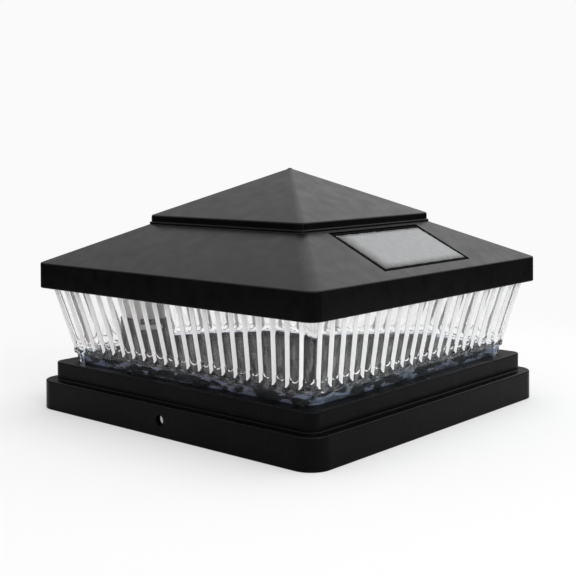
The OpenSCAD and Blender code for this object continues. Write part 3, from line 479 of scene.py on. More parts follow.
FASCIA_HALF, FASCIA_TOP_HALF, FASCIA_CENTRE, FASCIA_Z, EAVE_Z = 79.33, 79.05, 74.2, 53.6, 64.55
FASCIA_INNER, INNER_CENTRE, BAND_INNER, BAND_INNER_CENTRE = 76.8, 74.2, 41.65, 39.05
BAND_HALF, BAND_TOP_HALF, BAND_CENTRE, BAND_TOP = 44.07, 44.02, 41.05, 84.79
PLINTH_HALF, PLINTH_FOOT, PLINTH_TOP = 44.85, 80.92, 81.99
TIP = ((0.95, 104.75), (0.6, 104.95), (0.3, 105.03))
roof_rings = [square_ring(x, c, z, 12) for x, z, c in [
    (1.0, 101.9, 0.2), (BAND_INNER, 83.25, BAND_INNER_CENTRE),
    (BAND_INNER, 79.77, BAND_INNER_CENTRE), (FASCIA_INNER, 63.23, INNER_CENTRE)]]
roof_rings += [square_ring(x, c, z, 12) for x, z, c in eased([
    (FASCIA_INNER, 60.0, 0, INNER_CENTRE),
    (FASCIA_INNER, FASCIA_Z, 0.3, INNER_CENTRE),
    (FASCIA_HALF, FASCIA_Z, 0.5, FASCIA_CENTRE),
    (FASCIA_TOP_HALF, EAVE_Z, 0.9, FASCIA_CENTRE),
    (PLINTH_HALF, PLINTH_FOOT, 0.3, BAND_CENTRE),
    (PLINTH_HALF, PLINTH_TOP, 0.3, BAND_CENTRE),
    (BAND_HALF, PLINTH_TOP, 0.2, BAND_CENTRE),
    (BAND_TOP_HALF, BAND_TOP, 0.9, BAND_CENTRE),
    (1.2, 104.5, 0, 0.2)])]
roof_rings += [square_ring(half, 0.2, z, 12) for half, z in TIP]
roof_shell = loft("roof_hip", roof_rings)

PANEL_PITCH = math.radians(25.2)
RECESS_L, RECESS_W, RECESS_UP, RECESS_DEPTH = 60.8, 30.9, 5.8, 2.2
PAD_EDGE, PAD_UNDER, WIRE_HOLE_R = 3.0, 1.8, 2.5
BOSS_AT, BOSS_R, BOSS_FOOT, BOSS_TOP = 58.0, 3.5, 57.0, 70.5
PILOT_R, PILOT_FOOT, PILOT_TOP = 1.45, 50, 66
on_slope = (Matrix.Translation((79.2, 0, 64.75)) @ Matrix.Rotation(PANEL_PITCH, 4, "Y")
            @ Matrix.Rotation(math.pi, 4, "Z"))
panel_middle = RECESS_UP + RECESS_W / 2
pad = block("pad", (RECESS_UP - PAD_EDGE, -RECESS_L / 2 - PAD_EDGE, -RECESS_DEPTH - PAD_UNDER),
            (RECESS_UP + RECESS_W + PAD_EDGE, RECESS_L / 2 + PAD_EDGE, -1.2), on_slope)
hook_profile = [(-FASCIA_INNER - 0.5, HOOK_Z), (-FASCIA_INNER, HOOK_Z),
                (HOOK_OUT - FASCIA_INNER, HOOK_Z + HOOK_HIGH),
                (-FASCIA_INNER - 0.5, HOOK_Z + HOOK_HIGH)]
hooks = [bar("hook", hook_profile, x - HOOK_LONG / 2, x + HOOK_LONG / 2, quarters(k))
         for x in (-HOOK_AT, HOOK_AT) for k in range(4)]
boss_places = [Matrix.Translation((x, y, 0)) for x in (-BOSS_AT, BOSS_AT)
               for y in (-BOSS_AT, BOSS_AT)]
bosses = [turned("boss", [(BOSS_R, BOSS_FOOT), (BOSS_R, BOSS_TOP)], 40, place)
          for place in boss_places]
worked(roof_shell, [pad] + bosses + hooks, "UNION")
recess = block("recess", (RECESS_UP, -RECESS_L / 2, -RECESS_DEPTH),
               (RECESS_UP + RECESS_W, RECESS_L / 2, 3), on_slope)
wire_hole = turned("hole", [(WIRE_HOLE_R, -5.5), (WIRE_HOLE_R, -1)], 32,
                   on_slope @ Matrix.Translation((panel_middle, 0, 0)))
pilots = [turned("pilot", [(PILOT_R, PILOT_FOOT), (PILOT_R, PILOT_TOP)], 24, place)
          for place in boss_places]
worked(roof_shell, [recess, wire_hole] + pilots)
smoothed(roof_shell, 35, weighted=True)
black_abs = plastic("black_abs", (0.0014, 0.0014, 0.0015), (0.0024, 0.0024, 0.0026), 22, 0.3,
                    0.05, 0.35, 0.012, Specular_IOR_Level=0.078)
roof_shell.data.materials.append(black_abs)
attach(roof_shell, "head")
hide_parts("roof_shell")


# ---------- solar panel ----------
# Four silicon strips on a board, under a shallow dome of poured resin. The panel lies in a bed of
# black silicone, whose border is squeezed up unevenly between the resin and the recess.

SEAL_GAP, SEAL_W, SEAL_TOP, BED_T = 0.15, 1.1, -0.35, 0.5
PANEL_L, PANEL_W = RECESS_L - 2 * SEAL_W, RECESS_W - 2 * SEAL_W
RESIN_FOOT, RESIN_EDGE, RESIN_CROWN = -1.0, -0.45, -0.04
RESIN_IN, RESIN_SHIFT_X, RESIN_SHIFT_Y = 0.85, -0.25, 0.75
# How far the painted shade reaches in from the front end and the eave
PAINTED_SHADE_END, PAINTED_SHADE_EAVE = 7.5, 3.5


def panel_ring(half_x, half_y, z, ragged=0.0, shift=0.0, steps=60):
    """One level of the panel's oblong, on the slope, with a ragged outline and shifted if asked"""
    ring = []
    for sx, sy, ex, ey in ((-1, -1, 1, -1), (1, -1, 1, 1), (1, 1, -1, 1), (-1, 1, -1, -1)):
        for i in range(steps):
            t = i / steps
            x, y = (sx + (ex - sx) * t) * half_x, (sy + (ey - sy) * t) * half_y
            away = math.sin(1.9 * x + 0.7 * y) + 0.6 * math.sin(2.7 * y - 1.1 * x) \
                + 0.4 * math.sin(5.3 * (x + y))
            pull = ragged * (1 + away)
            ring.append(on_slope @ Vector((
                panel_middle + x * (1 - pull / half_x) + shift * RESIN_SHIFT_X,
                -y * (1 - pull / half_y) - shift * RESIN_SHIFT_Y, z)))
    return ring


half_w, half_l = PANEL_W / 2, PANEL_L / 2
out_w, out_l = RECESS_W / 2 - SEAL_GAP, RECESS_L / 2 - SEAL_GAP
sealant = loft("sealant_bead", [
    panel_ring(half_w, half_l, -RECESS_DEPTH + BED_T),
    panel_ring(half_w, half_l, RESIN_FOOT),
    panel_ring(half_w - RESIN_IN - 0.3, half_l - RESIN_IN - 0.3, RESIN_FOOT + 0.02, 0.0, 1.0),
    panel_ring(half_w - RESIN_IN - 0.1, half_l - RESIN_IN - 0.1, SEAL_TOP - 0.08, 0.3, 1.0),
    panel_ring(half_w - RESIN_IN + 0.3, half_l - RESIN_IN + 0.3, SEAL_TOP, 0.15, 0.8),
    panel_ring(out_w - 0.25, out_l - 0.25, SEAL_TOP - 0.02, 0.03),
    panel_ring(out_w, out_l, SEAL_TOP - 0.2),
    panel_ring(out_w, out_l, -RECESS_DEPTH)])
worked(sealant, [turned("hole", [(WIRE_HOLE_R, -RECESS_DEPTH - 1), (WIRE_HOLE_R, -1)], 32,
                        on_slope @ Matrix.Translation((panel_middle, 0, 0)))])
smoothed(sealant, 50)
sealant.data.materials.append(plastic("black_silicone", (0.002, 0.002, 0.002),
                                      (0.004, 0.004, 0.004), 6, 0.8, 0.1, 0.5, 0.05,
                                      Specular_IOR_Level=0.01))
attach(sealant, "head")
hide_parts("panel_sealant")


def dressed(node, finish):
    """A CAD node shown as it is, in its own finish"""
    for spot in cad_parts[node].material_slots:
        spot.material = finish


board_green = plastic("board_green", (0.015, 0.09, 0.035), (0.02, 0.13, 0.05), 9, 0.35, 0.06,
                      0.3, 0.01)
dressed("panel_board", board_green)

CELL_COUNT, CELL_GAP, CELL_MARGIN, CELL_T = 4, 0.8, 1.4, 0.3
BUS_W, FINGER_W, FINGER_PITCH, FINGER_END, PRINT_T = 0.9, 0.09, 1.6, 0.4, 0.05
cell_field = PANEL_L - 2 * CELL_MARGIN
strip_l = (cell_field - (CELL_COUNT - 1) * CELL_GAP) / CELL_COUNT
cell_z = -RECESS_DEPTH + BED_T + 0.8


def cell_mesh(i):
    """One silicon strip with a printed bus bar along its middle and fingers across it"""
    y0 = -cell_field / 2 + i * (strip_l + CELL_GAP)
    half, middle = PANEL_W / 2 - CELL_MARGIN, y0 + strip_l / 2
    count = int(2 * half / FINGER_PITCH)
    fingers = [(j - (count - 1) / 2) * FINGER_PITCH for j in range(count)]
    xs = [-half] + [x + side for x in fingers for side in (-FINGER_W / 2, FINGER_W / 2)] + [half]
    ys = [y0, y0 + FINGER_END, middle - BUS_W / 2, middle + BUS_W / 2, y0 + strip_l - FINGER_END,
          y0 + strip_l]
    heights = (cell_z, cell_z + CELL_T - PRINT_T, cell_z + CELL_T)

    def level(ix, iy):
        """0 outside the strip, 1 on bare silicon, 2 on the print"""
        if not (0 <= ix < len(xs) - 1 and 0 <= iy < len(ys) - 1):
            return 0
        return 2 if iy == 2 or (ix % 2 == 1 and 1 <= iy <= 3) else 1

    verts = []
    for ix in range(len(xs) - 1):
        for iy in range(len(ys) - 1):
            here = level(ix, iy)
            corners = [(xs[ix], ys[iy]), (xs[ix + 1], ys[iy]), (xs[ix + 1], ys[iy + 1]),
                       (xs[ix], ys[iy + 1])]
            verts += [(x, y, heights[here]) for x, y in corners]
            verts += [(x, y, cell_z) for x, y in corners]
            beside = (level(ix, iy - 1), level(ix + 1, iy), level(ix, iy + 1), level(ix - 1, iy))
            for k, there in enumerate(beside):
                a, b = corners[k], corners[(k + 1) % 4]
                for step in range(there, here):
                    verts += [(*a, heights[step]), (*b, heights[step]), (*b, heights[step + 1]),
                              (*a, heights[step + 1])]
    verts = [on_slope @ Vector((panel_middle + x, y, z)) for x, y, z in verts]
    return shell("cell", verts, [tuple(range(n, n + 4)) for n in range(0, len(verts), 4)])


def gathered(name, pieces):
    """Several meshes as one object"""
    bm = bmesh.new()
    for piece in pieces:
        bm.from_mesh(piece.data)
        bpy.data.objects.remove(piece)
    mesh = bpy.data.meshes.new(name)
    bm.to_mesh(mesh)
    bm.free()
    return placed(name, mesh)


cells = gathered("cell_strips", [cell_mesh(i) for i in range(CELL_COUNT)])
silicon = plastic("silvery_silicon", (0.30, 0.31, 0.33), (0.40, 0.41, 0.43), 2.5, 0.4, 0.08, 0.4,
                  0.02, Metallic=0.3)
cells.data.materials.append(silicon)
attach(cells, "head")
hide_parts("solar_cells")


def tinted(mat, share, first, second):
    """A colour between two others"""
    node = wired(mat, "Mix")
    node.data_type = "RGBA"
    joined(mat.node_tree, [node.inputs[i] for i in (0, 6, 7)], (share, first, second))
    return node.outputs[2]


half_w, half_l = half_w - RESIN_IN, half_l - RESIN_IN
dome_rings = [panel_ring(half_w, half_l, RESIN_FOOT, 0.0, 1.0)]
for t, share in ((0.0, 0.0), (0.012, 0.3), (0.04, 0.52), (0.09, 0.72), (0.17, 0.87), (0.3, 0.96),
                 (0.5, 0.99), (0.75, 1.0)):
    z = RESIN_EDGE + (RESIN_CROWN - RESIN_EDGE) * share
    inset = t * half_w
    dome_rings.append(panel_ring(half_w - inset, half_l - inset, z, 0.06 if t < 0.05 else 0.0, 1.0))
resin = loft("panel_dome", dome_rings)
smoothed(resin, 60)
resin_mat = plastic("poured_resin", (0.066, 0.071, 0.074), (0.094, 0.099, 0.102), 3.5, 0.3, 0.06,
                    0.7, 0.02, Specular_IOR_Level=0.2, Coat_Roughness=0.1)
resin_nodes = resin_mat.node_tree.nodes
spot = resin_nodes["Texture Coordinate"].outputs["Object"]
place = wired(resin_mat, "SeparateXYZ", Vector=spot).outputs

# Painted shade, darker towards the front end and the eave and broken by random cloud, and a painted
# highlight along the other two edges
cloud = noise(resin_mat, spot, 420.0, 4.0)
eave_x, ridge_x = ((on_slope @ Vector((panel_middle + away + RESIN_SHIFT_X, 0, 0))).x * MM
                   for away in (-half_w, half_w))
low_y, high_y = (RESIN_SHIFT_Y - half_l) * MM, (RESIN_SHIFT_Y + half_l) * MM
from_end = ranged(resin_mat, place["Y"], low_y, low_y + PAINTED_SHADE_END * MM)
from_eave = ranged(resin_mat, place["X"], eave_x, eave_x - PAINTED_SHADE_EAVE * MM)
# deep is the share of painted shade, mixed with random cloud; the coat follows it
deep = reckoned(resin_mat, "MULTIPLY_ADD", cloud, 0.5, product(resin_mat, from_end, from_eave))
deep = ranged(resin_mat, deep, 0.34, 1.2)
painted_lip_highlight = reckoned(resin_mat, "MAXIMUM",
               ranged(resin_mat, place["Y"], high_y - 0.9 * MM, high_y - 0.3 * MM),
               ranged(resin_mat, place["X"], ridge_x + 0.5 * MM, ridge_x + 0.2 * MM))
painted_lip_highlight = product(resin_mat, painted_lip_highlight, ranged(resin_mat, cloud, 0.35, 0.5))
# Near black where the painted shade lies
hue = tinted(resin_mat, deep, (0.006, 0.006, 0.007, 1), resin_nodes["Color Ramp"].outputs["Color"])
# The pale colour of the painted highlight along the two edges
finished(resin_mat, Base_Color=tinted(resin_mat, painted_lip_highlight, hue, (0.5, 0.48, 0.48, 1)),
         Coat_Weight=product(resin_mat, deep, 0.3))
resin.data.materials.append(resin_mat)
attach(resin, "head")
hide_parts("panel_resin")


# ---------- reflector tray ----------
# The white ABS plate that closes the roof from below and throws the light down, with a raised
# bezel round each lamp and posts above for the board and the tube. Screwed to the roof bosses.

TRAY_Z, TRAY_T = 55.0, 2.0
TRAY_TOP = TRAY_Z + TRAY_T
white_abs = plastic("white_abs", (0.80, 0.80, 0.78), (0.86, 0.86, 0.84), 30, 0.42, 0.08, 0.4,
                    0.01)
dressed("reflector_tray", white_abs)


def grower(name, finish, **sizes):
    """A node tree with a named input for each of its sizes, and one for its finish"""
    tree = bpy.data.node_groups.new(name, "GeometryNodeTree")
    kinds = {bool: "Bool", int: "Int", float: "Float", tuple: "Vector", bpy.types.Object: "Object"}
    for key, value in sizes.items():
        tree.interface.new_socket(key, in_out="INPUT",
                                  socket_type="NodeSocket" + kinds[type(value)])
    tree.interface.new_socket("finish", in_out="INPUT", socket_type="NodeSocketMaterial")
    tree.interface.new_socket("mesh", in_out="OUTPUT", socket_type="NodeSocketGeometry")
    return tree, tree.nodes.new("NodeGroupInput").outputs


def grow(tree, kind, out=0, **inputs):
    """A new node in a tree, its inputs joined to other outputs or set, and one of its outputs"""
    return fed(tree, tree.nodes.new("GeometryNode" + kind), inputs).outputs[out]


def grown(name, tree, sizes, finish, made, place=None):
    """The plain mesh that a tree makes, with its inputs set by identifier before it is evaluated"""
    laid = grow(tree, "RealizeInstances", Geometry=made)
    laid = grow(tree, "SetMaterial", Geometry=laid, Material=tree.nodes[0].outputs["finish"])
    tree.links.new(laid, tree.nodes.new("NodeGroupOutput").inputs[0])
    piece = placed(name, bpy.data.meshes.new(name))
    step = piece.modifiers.new("grow", "NODES")
    step.node_group = tree
    for socket in tree.interface.items_tree:
        if socket.in_out == "INPUT":
            step[socket.identifier] = finish if socket.name == "finish" else sizes[socket.name]
    applied(piece)
    if place is not None:
        piece.data.transform(place)
    return piece


def set_out(name, pattern, finish, first, across=0.0, along=0.0, counts=(1, 1), turn=None):
    """Copies of a pattern piece in rows, from the place of the first; sizes in millimetres"""
    sizes = {"pattern": pattern, "across": (across * MM, 0.0, 0.0), "along": (0.0, along * MM, 0.0),
             "count across": counts[0], "count along": counts[1]}
    tree, size = grower(name + "_rows", finish, **sizes)
    row = grow(tree, "MeshLine", Count=size["count across"], Offset=size["across"])
    rows = grow(tree, "MeshLine", Count=size["count along"], Offset=size["along"])
    places = grow(tree, "InstanceOnPoints", Points=rows, Instance=row)
    places = grow(tree, "RealizeInstances", Geometry=places)
    shape = grow(tree, "ObjectInfo", "Geometry", Object=size["pattern"])
    made = grow(tree, "InstanceOnPoints", Points=places, Instance=shape)
    place = Matrix.Translation(Vector(first) * MM)
    if turn is not None:
        place = turn @ place
    piece = grown(name, tree, sizes, finish, made, place)
    bpy.data.objects.remove(pattern)
    return piece


# ---------- tray screws ----------
# Four zinc-plated pan head screws, driven up through the tray into the roof bosses. Cold headed,
# with a cross recess and a rolled thread.


def pan_screw(name, d, length, head_d, head_h, pitch):
    """A pan head screw that points up from its bearing face, with a cross recess below"""
    r, rim = d / 2, head_d / 2
    profile = [(rim * 0.3, -head_h), (rim * 0.62, -head_h * 0.96), (rim * 0.86, -head_h * 0.8),
               (rim * 0.98, -head_h * 0.5), (rim, -head_h * 0.3), (rim * 0.98, -0.05), (rim * 0.95, 0),
               (r, 0)]
    z = 0.6
    while z < length - d * 0.7:
        profile += [(r * 0.76, z), (r, z + pitch / 2)]
        z += pitch
    profile += [(r * 0.76, length - d * 0.5), (r * 0.1, length)]
    screw = turned(name, profile, 20)
    arm, deep = head_d * 0.27, head_h * 0.6
    recess = [block("recess", (-arm, -head_d * 0.06, -head_h - 1), (arm, head_d * 0.06, deep - head_h),
                    quarters(k + 0.5)) for k in (0, 1)]
    worked(screw, recess)
    return smoothed(screw)


zinc = plastic("zinc_plate", (0.42, 0.43, 0.45), (0.56, 0.57, 0.58), 1.5, 0.32, 0.1, 0.15, 0.01,
               Metallic=1.0)
tray_screws = set_out("screws_tray", pan_screw("screw", 2.9, 10, 5.6, 1.9, 1.1), zinc,
                      (-BOSS_AT, -BOSS_AT, TRAY_Z), 2 * BOSS_AT, 2 * BOSS_AT, (2, 2))
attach(tray_screws, "head")
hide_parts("tray_screws")


# ---------- circuit board ----------
# Green fibreglass with tinned pads, on two posts of the tray. It carries the charge chip, a
# choke, a capacitor can, the lamps and the switch; two screws hold it.

BOARD_L, BOARD_W, BOARD_T, BOARD_Z = 64.0, 46.0, 1.6, 61.0
BOARD_TOP, BOARD_POST_X = BOARD_Z + BOARD_T, 17.0
CHIP_AT, COIL_AT, CAN_AT = (0.0, 10.5), (-6.0, -6.0), (10.0, -14.0)


def bevelled(piece, width, segments=2):
    """Takes the edges off a piece"""
    step = piece.modifiers.new("edge", "BEVEL")
    step.width, step.segments, step.limit_method = width * MM, segments, "ANGLE"
    return applied(piece)


board = block("board_plate", (-BOARD_L / 2, -BOARD_W / 2, BOARD_Z),
              (BOARD_L / 2, BOARD_W / 2, BOARD_TOP))
bevelled(board, 0.15, 1)
board_holes = [turned("hole", [(1.2, BOARD_Z - 1), (1.2, BOARD_TOP + 1)], 24,
                      Matrix.Translation((side * BOARD_POST_X, 0, 0))) for side in (-1, 1)]
worked(board, board_holes)
pads = [turned("pad", [(1.1, BOARD_TOP - 0.1), (1.1, BOARD_TOP + 0.02), (0.4, BOARD_TOP + 0.04)],
               16, Matrix.Translation((x, y, 0)))
        for x, y in [(29, 4), (29, -4), (-26, -19), (-29, -15)]
        + [(sx * 25 + d, sy * 17) for sx in (-1, 1) for sy in (-1, 1) for d in (-1.27, 1.27)]]
tracks = [block("track", (x0, y0, BOARD_TOP - 0.1), (x1, y1, BOARD_TOP + 0.02)) for x0, y0, x1, y1
          in ((3.2, 3.8, 28.2, 4.2), (-25, -17.4, 25, -16.6), (-25, 16.6, 25, 17.4),
              (-26.3, -18.6, -25.7, 16.6), (25.7, -16.6, 26.3, 16.6), (2.5, 4.2, 3.2, 8.2))]
tinned = gathered("pads_and_tracks", pads + tracks)
tinned.data.materials.append(plastic("tinned_copper", (0.55, 0.53, 0.48), (0.68, 0.66, 0.60), 2,
                                     0.3, 0.1, 0.2, 0.01, Metallic=1.0))
smoothed(board, 30, weighted=True)
board.data.materials.append(board_green)
for piece in (board, tinned):
    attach(piece, "head")
    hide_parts("circuit_board")

board_screws = set_out("screws_board", pan_screw("screw", 2, 5, 3.8, 1.4, 0.7), zinc,
                       (-BOARD_POST_X, 0, -BOARD_TOP), 2 * BOARD_POST_X, 0.0, (2, 1),
                       Matrix.Rotation(math.pi, 4, "X"))
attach(board_screws, "head")
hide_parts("board_screws")

CHIP_L, CHIP_W, CHIP_H, LEG_PITCH, LEG_HALF = 6.0, 5.0, 1.6, 1.27, 0.2
chip = block("chip", (CHIP_AT[0] - CHIP_L / 2 + 0.5, CHIP_AT[1] - CHIP_W / 2 + 0.9, BOARD_TOP + 0.1),
             (CHIP_AT[0] + CHIP_L / 2 - 0.5, CHIP_AT[1] + CHIP_W / 2 - 0.9, BOARD_TOP + CHIP_H))
bevelled(chip, 0.12)
legs = []
for side in (-1, 1):
    y = [CHIP_AT[1] + side * away for away in (1.4, 2.0, 2.0, 2.5, 2.5, 1.85, 1.85, 1.4)]
    z = [BOARD_TOP + up for up in (0.95, 0.95, 0.2, 0.2, 0.02, 0.02, 0.75, 0.75)]
    for i in range(4):
        x = CHIP_AT[0] + (i - 1.5) * LEG_PITCH
        legs.append(bar("leg", list(zip(y, z)), x - LEG_HALF, x + LEG_HALF, Matrix.Identity(4)))
chip_legs = gathered("chip_legs", legs)
chip_black = plastic("chip_epoxy", (0.02, 0.02, 0.02), (0.03, 0.03, 0.03), 2, 0.6, 0.1, 0.1, 0.01)
chip.data.materials.append(chip_black)
chip_legs.data.materials.append(zinc)
for piece in (chip, chip_legs):
    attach(piece, "head")
    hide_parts("charge_chip")

# The choke: wire wound on a ferrite bobbin, then dipped
COIL_L, COIL_R, COIL_WAIST, COIL_WIRE, COIL_TURNS = 10.0, 1.7, 1.2, 0.2, 14
on_side = Matrix.Translation((*COIL_AT, BOARD_TOP + COIL_R)) @ Matrix.Rotation(math.pi / 2, 4, "Y")
bobbin = turned("choke_core", [(COIL_R * 0.5, 0), (COIL_R - 0.1, 0), (COIL_R, 0.1), (COIL_R, 1.9),
                               (COIL_WAIST, 2.0), (COIL_WAIST, 8.0), (COIL_R, 8.1),
                               (COIL_R, 9.9), (COIL_R - 0.1, COIL_L), (COIL_R * 0.5, COIL_L)],
                32, on_side)
smoothed(bobbin)


def wound(name, finish, turns, start_r, end_r, rise, wire_r, place, steps=16, sides=8):
    """A coil of round wire, in millimetres"""
    sizes = {"turns": turns, "start radius": start_r * MM, "end radius": end_r * MM,
             "rise": rise * MM, "wire radius": wire_r * MM, "steps": steps, "sides": sides}
    tree, size = grower(name + "_turns", finish, **sizes)
    path = grow(tree, "CurveSpiral", Rotations=size["turns"], Start_Radius=size["start radius"],
                End_Radius=size["end radius"], Height=size["rise"], Resolution=size["steps"])
    round_wire = grow(tree, "CurvePrimitiveCircle", Radius=size["wire radius"],
                      Resolution=size["sides"])
    made = grow(tree, "CurveToMesh", Curve=path, Profile_Curve=round_wire, Fill_Caps=True)
    piece = grown(name, tree, sizes, finish, made)
    piece.data.transform(Matrix.Translation(place.translation * MM)
                         @ place.to_3x3().to_4x4())
    return smoothed(piece, 60)


dip = plastic("green_dip", (0.10, 0.24, 0.10), (0.16, 0.34, 0.16), 2, 0.35, 0.1, 0.2, 0.01)
winding = wound("choke_winding", dip, float(COIL_TURNS), COIL_WAIST + COIL_WIRE,
                COIL_WAIST + COIL_WIRE, 5.6, COIL_WIRE, on_side @ Matrix.Translation((0, 0, 2.2)))
bobbin.data.materials.append(chip_black)
for piece in (bobbin, winding):
    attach(piece, "head")
    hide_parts("inductor")

CAN_R, CAN_H = 3.15, 7.0
can_place = Matrix.Translation((*CAN_AT, BOARD_TOP))
can = turned("capacitor_can", [(1.0, 0), (CAN_R - 0.15, 0), (CAN_R, 0.2), (CAN_R, 0.9),
                               (CAN_R - 0.25, 1.1), (CAN_R - 0.25, 1.4), (CAN_R, 1.6),
                               (CAN_R, CAN_H - 0.25), (CAN_R - 0.25, CAN_H)], 40, can_place)
can_lid = turned("capacitor_lid", [(CAN_R - 0.4, CAN_H - 0.4), (CAN_R - 0.4, CAN_H - 0.02),
                                   (0.2, CAN_H - 0.02)], 40, can_place)
score = [block("score", (-CAN_R * 0.6, -0.12, CAN_H - 0.2), (CAN_R * 0.6, 0.12, CAN_H + 1),
               can_place @ quarters(k)) for k in (0, 1)]
worked(can, [turned("mouth", [(CAN_R - 0.5, CAN_H - 0.3), (CAN_R - 0.5, CAN_H + 1)], 40, can_place)])
worked(can_lid, score)
can.data.materials.append(plastic("blue_sleeve", (0.02, 0.04, 0.16), (0.03, 0.06, 0.22), 3, 0.25,
                                  0.08, 0.3, 0.005))
can_lid.data.materials.append(zinc)
for piece in (can, can_lid):
    smoothed(piece)
    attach(piece, "head")
    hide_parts("capacitor")


# ---------- lamps ----------
# Four 5 mm lamps in clear epoxy, soldered under the board. They hang through the bezels of the
# tray, with their domes down.

LED_R, LED_RIM_R, LED_L, LED_AT = 2.5, 2.9, 8.6, (25.0, 17.0)
dome = [(LED_R * math.sin(a), LED_R - LED_R * math.cos(a))
        for a in [math.radians(step) for step in range(6, 91, 7)]]
lamp = turned("lamp", dome + [(LED_R, LED_L - 1.05), (LED_RIM_R - 0.05, LED_L - 1.0),
                              (LED_RIM_R, LED_L - 0.9), (LED_RIM_R, LED_L - 0.05),
                              (LED_RIM_R - 0.05, LED_L), (0.5, LED_L)], 32)
smoothed(lamp)
epoxy = plastic("clear_epoxy", (0.92, 0.91, 0.80), (0.97, 0.96, 0.88), 3, 0.1, 0.04, 0.3, 0.004,
                Transmission_Weight=0.7, IOR=1.52)
leds = set_out("lamps", lamp, epoxy, (-LED_AT[0], -LED_AT[1], BOARD_Z - LED_L), 2 * LED_AT[0],
               2 * LED_AT[1], (2, 2))
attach(leds, "head")
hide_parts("leds")


# ---------- switch ----------
# A small slide switch in a folded tinned case under the board. Its nylon knob reaches down
# through a slot of the tray.

tin = plastic("tinned_steel", (0.45, 0.45, 0.46), (0.55, 0.55, 0.56), 2, 0.35, 0.1, 0.2, 0.01,
              Metallic=1.0)
dressed("switch_body", tin)
KNOB_L, KNOB_W, KNOB_X, KNOB_Y, KNOB_FOOT, KNOB_TIP = 2.0, 1.8, -1.25, -12.0, 58.5, 53.4
foot = block("knob", (KNOB_X - KNOB_L / 2 - 1, KNOB_Y - KNOB_W / 2, KNOB_FOOT),
             (KNOB_X + KNOB_L / 2 + 1, KNOB_Y + KNOB_W / 2, KNOB_FOOT + 1.8))
finger = block("finger", (KNOB_X - KNOB_L / 2, KNOB_Y - KNOB_W / 2, KNOB_TIP),
               (KNOB_X + KNOB_L / 2, KNOB_Y + KNOB_W / 2, KNOB_FOOT + 0.5))
knob = worked(foot, [finger], "UNION")
knob.name = "knob_finger"
grips = [block("grip", (KNOB_X + x - 0.12, KNOB_Y - 1, KNOB_TIP - 0.5),
               (KNOB_X + x + 0.12, KNOB_Y + 1, KNOB_TIP + 0.2)) for x in (-0.55, 0, 0.55)]
worked(knob, grips)
bevelled(knob, 0.06)
smoothed(knob)
knob.data.materials.append(plastic("black_nylon", (0.012, 0.012, 0.012), (0.02, 0.02, 0.02), 1.5,
                                   0.5, 0.1, 0.1, 0.01))
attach(knob, "knob")
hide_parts("switch_knob")


# ---------- battery tube ----------
# The upright white tube for the cell, closed above and held to the tray by two small screws
# through its ears. Nickel contacts press on both ends of a shrink-sleeved 2/3 AA cell.

TUBE_AT, TUBE_OUTER, TUBE_TOP, EAR_AT = (-41.0, -49.0), 8.9, 60.9, 11.9
tube_place = Matrix.Translation((*TUBE_AT, 0))
dressed("battery_tube", white_abs)
nickel = plastic("nickel_plate", (0.52, 0.50, 0.46), (0.62, 0.60, 0.56), 2, 0.28, 0.1, 0.2, 0.01,
                 Metallic=1.0)
for node in ("contact_plate", "contact_strip"):
    dressed(node, nickel)
ear_screws = set_out("screws_tube", pan_screw("screw", 2, 4.6, 3.8, 1.4, 0.7), zinc,
                     (-EAR_AT, 0, -TUBE_TOP), 2 * EAR_AT, 0.0, (2, 1),
                     Matrix.Translation(tube_place.translation * MM)
                     @ quarters(-0.5) @ Matrix.Rotation(math.pi, 4, "X"))
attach(ear_screws, "head")
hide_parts("tube_screws")

CELL_D, CELL_L, CELL_FOOT, NUB_R = 14.2, 28.5, 30.5, 2.75
cell_r = CELL_D / 2
cell = turned("cell_sleeved", [(1.0, 0.05), (cell_r - 2.2, 0.05), (cell_r - 2.0, 0),
                               (cell_r - 0.8, 0), (cell_r - 0.2, 0.25), (cell_r, 0.8),
                               (cell_r, CELL_L - 2.2), (cell_r - 0.35, CELL_L - 1.5),
                               (cell_r - 1.4, CELL_L - 1.05), (cell_r - 2.4, CELL_L - 1.15),
                               (NUB_R + 0.3, CELL_L - 1.15), (NUB_R, CELL_L - 1.0),
                               (NUB_R, CELL_L - 0.15), (NUB_R - 0.2, CELL_L), (0.5, CELL_L)],
              48, tube_place @ Matrix.Translation((0, 0, CELL_FOOT)))
smoothed(cell)
cell.data.materials.append(plastic("green_sleeve", (0.06, 0.22, 0.10), (0.10, 0.32, 0.15), 6, 0.25,
                                   0.08, 0.6, 0.01))
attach(cell, "head")
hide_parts("battery_cell")


# ---------- battery cap ----------
# The black cap that holds the cell up. It turns on two lugs of the tube by J slots in its wall,
# has grip ribs outside, and carries a nickel disc and a tapered spring.

CAP_OUTER, CAP_INNER, CAP_FOOT, CAP_RIM, CAP_FLOOR = 10.6, 9.2, 23.4, 42.0, 25.2
GRIP_COUNT, GRIP_R, GRIP_FOOT, GRIP_H, CAP_TURN = 24, 0.5, 0.8, 9.3, math.radians(60)
LUG_Z, SLOT_H, SLOT_SLACK, DETENT = 38.0, 2.8, math.radians(8.75), 0.2
cap = turned("cap_ribbed", [
    (1.0, CAP_FLOOR), (CAP_INNER - 0.2, CAP_FLOOR), (CAP_INNER, CAP_FLOOR + 0.2),
    (CAP_INNER, CAP_RIM - 0.15), (CAP_INNER + 0.15, CAP_RIM), (CAP_OUTER - 0.3, CAP_RIM),
    (CAP_OUTER, CAP_RIM - 0.3), (CAP_OUTER, CAP_FOOT + 0.5), (CAP_OUTER - 0.15, CAP_FOOT + 0.15),
    (CAP_OUTER - 0.5, CAP_FOOT), (1.0, CAP_FOOT)], 96, tube_place)
rib = turned("rib", [(GRIP_R * 0.4, 0), (GRIP_R, 0.3), (GRIP_R, GRIP_H - 0.5),
                     (GRIP_R * 0.3, GRIP_H)], 12)
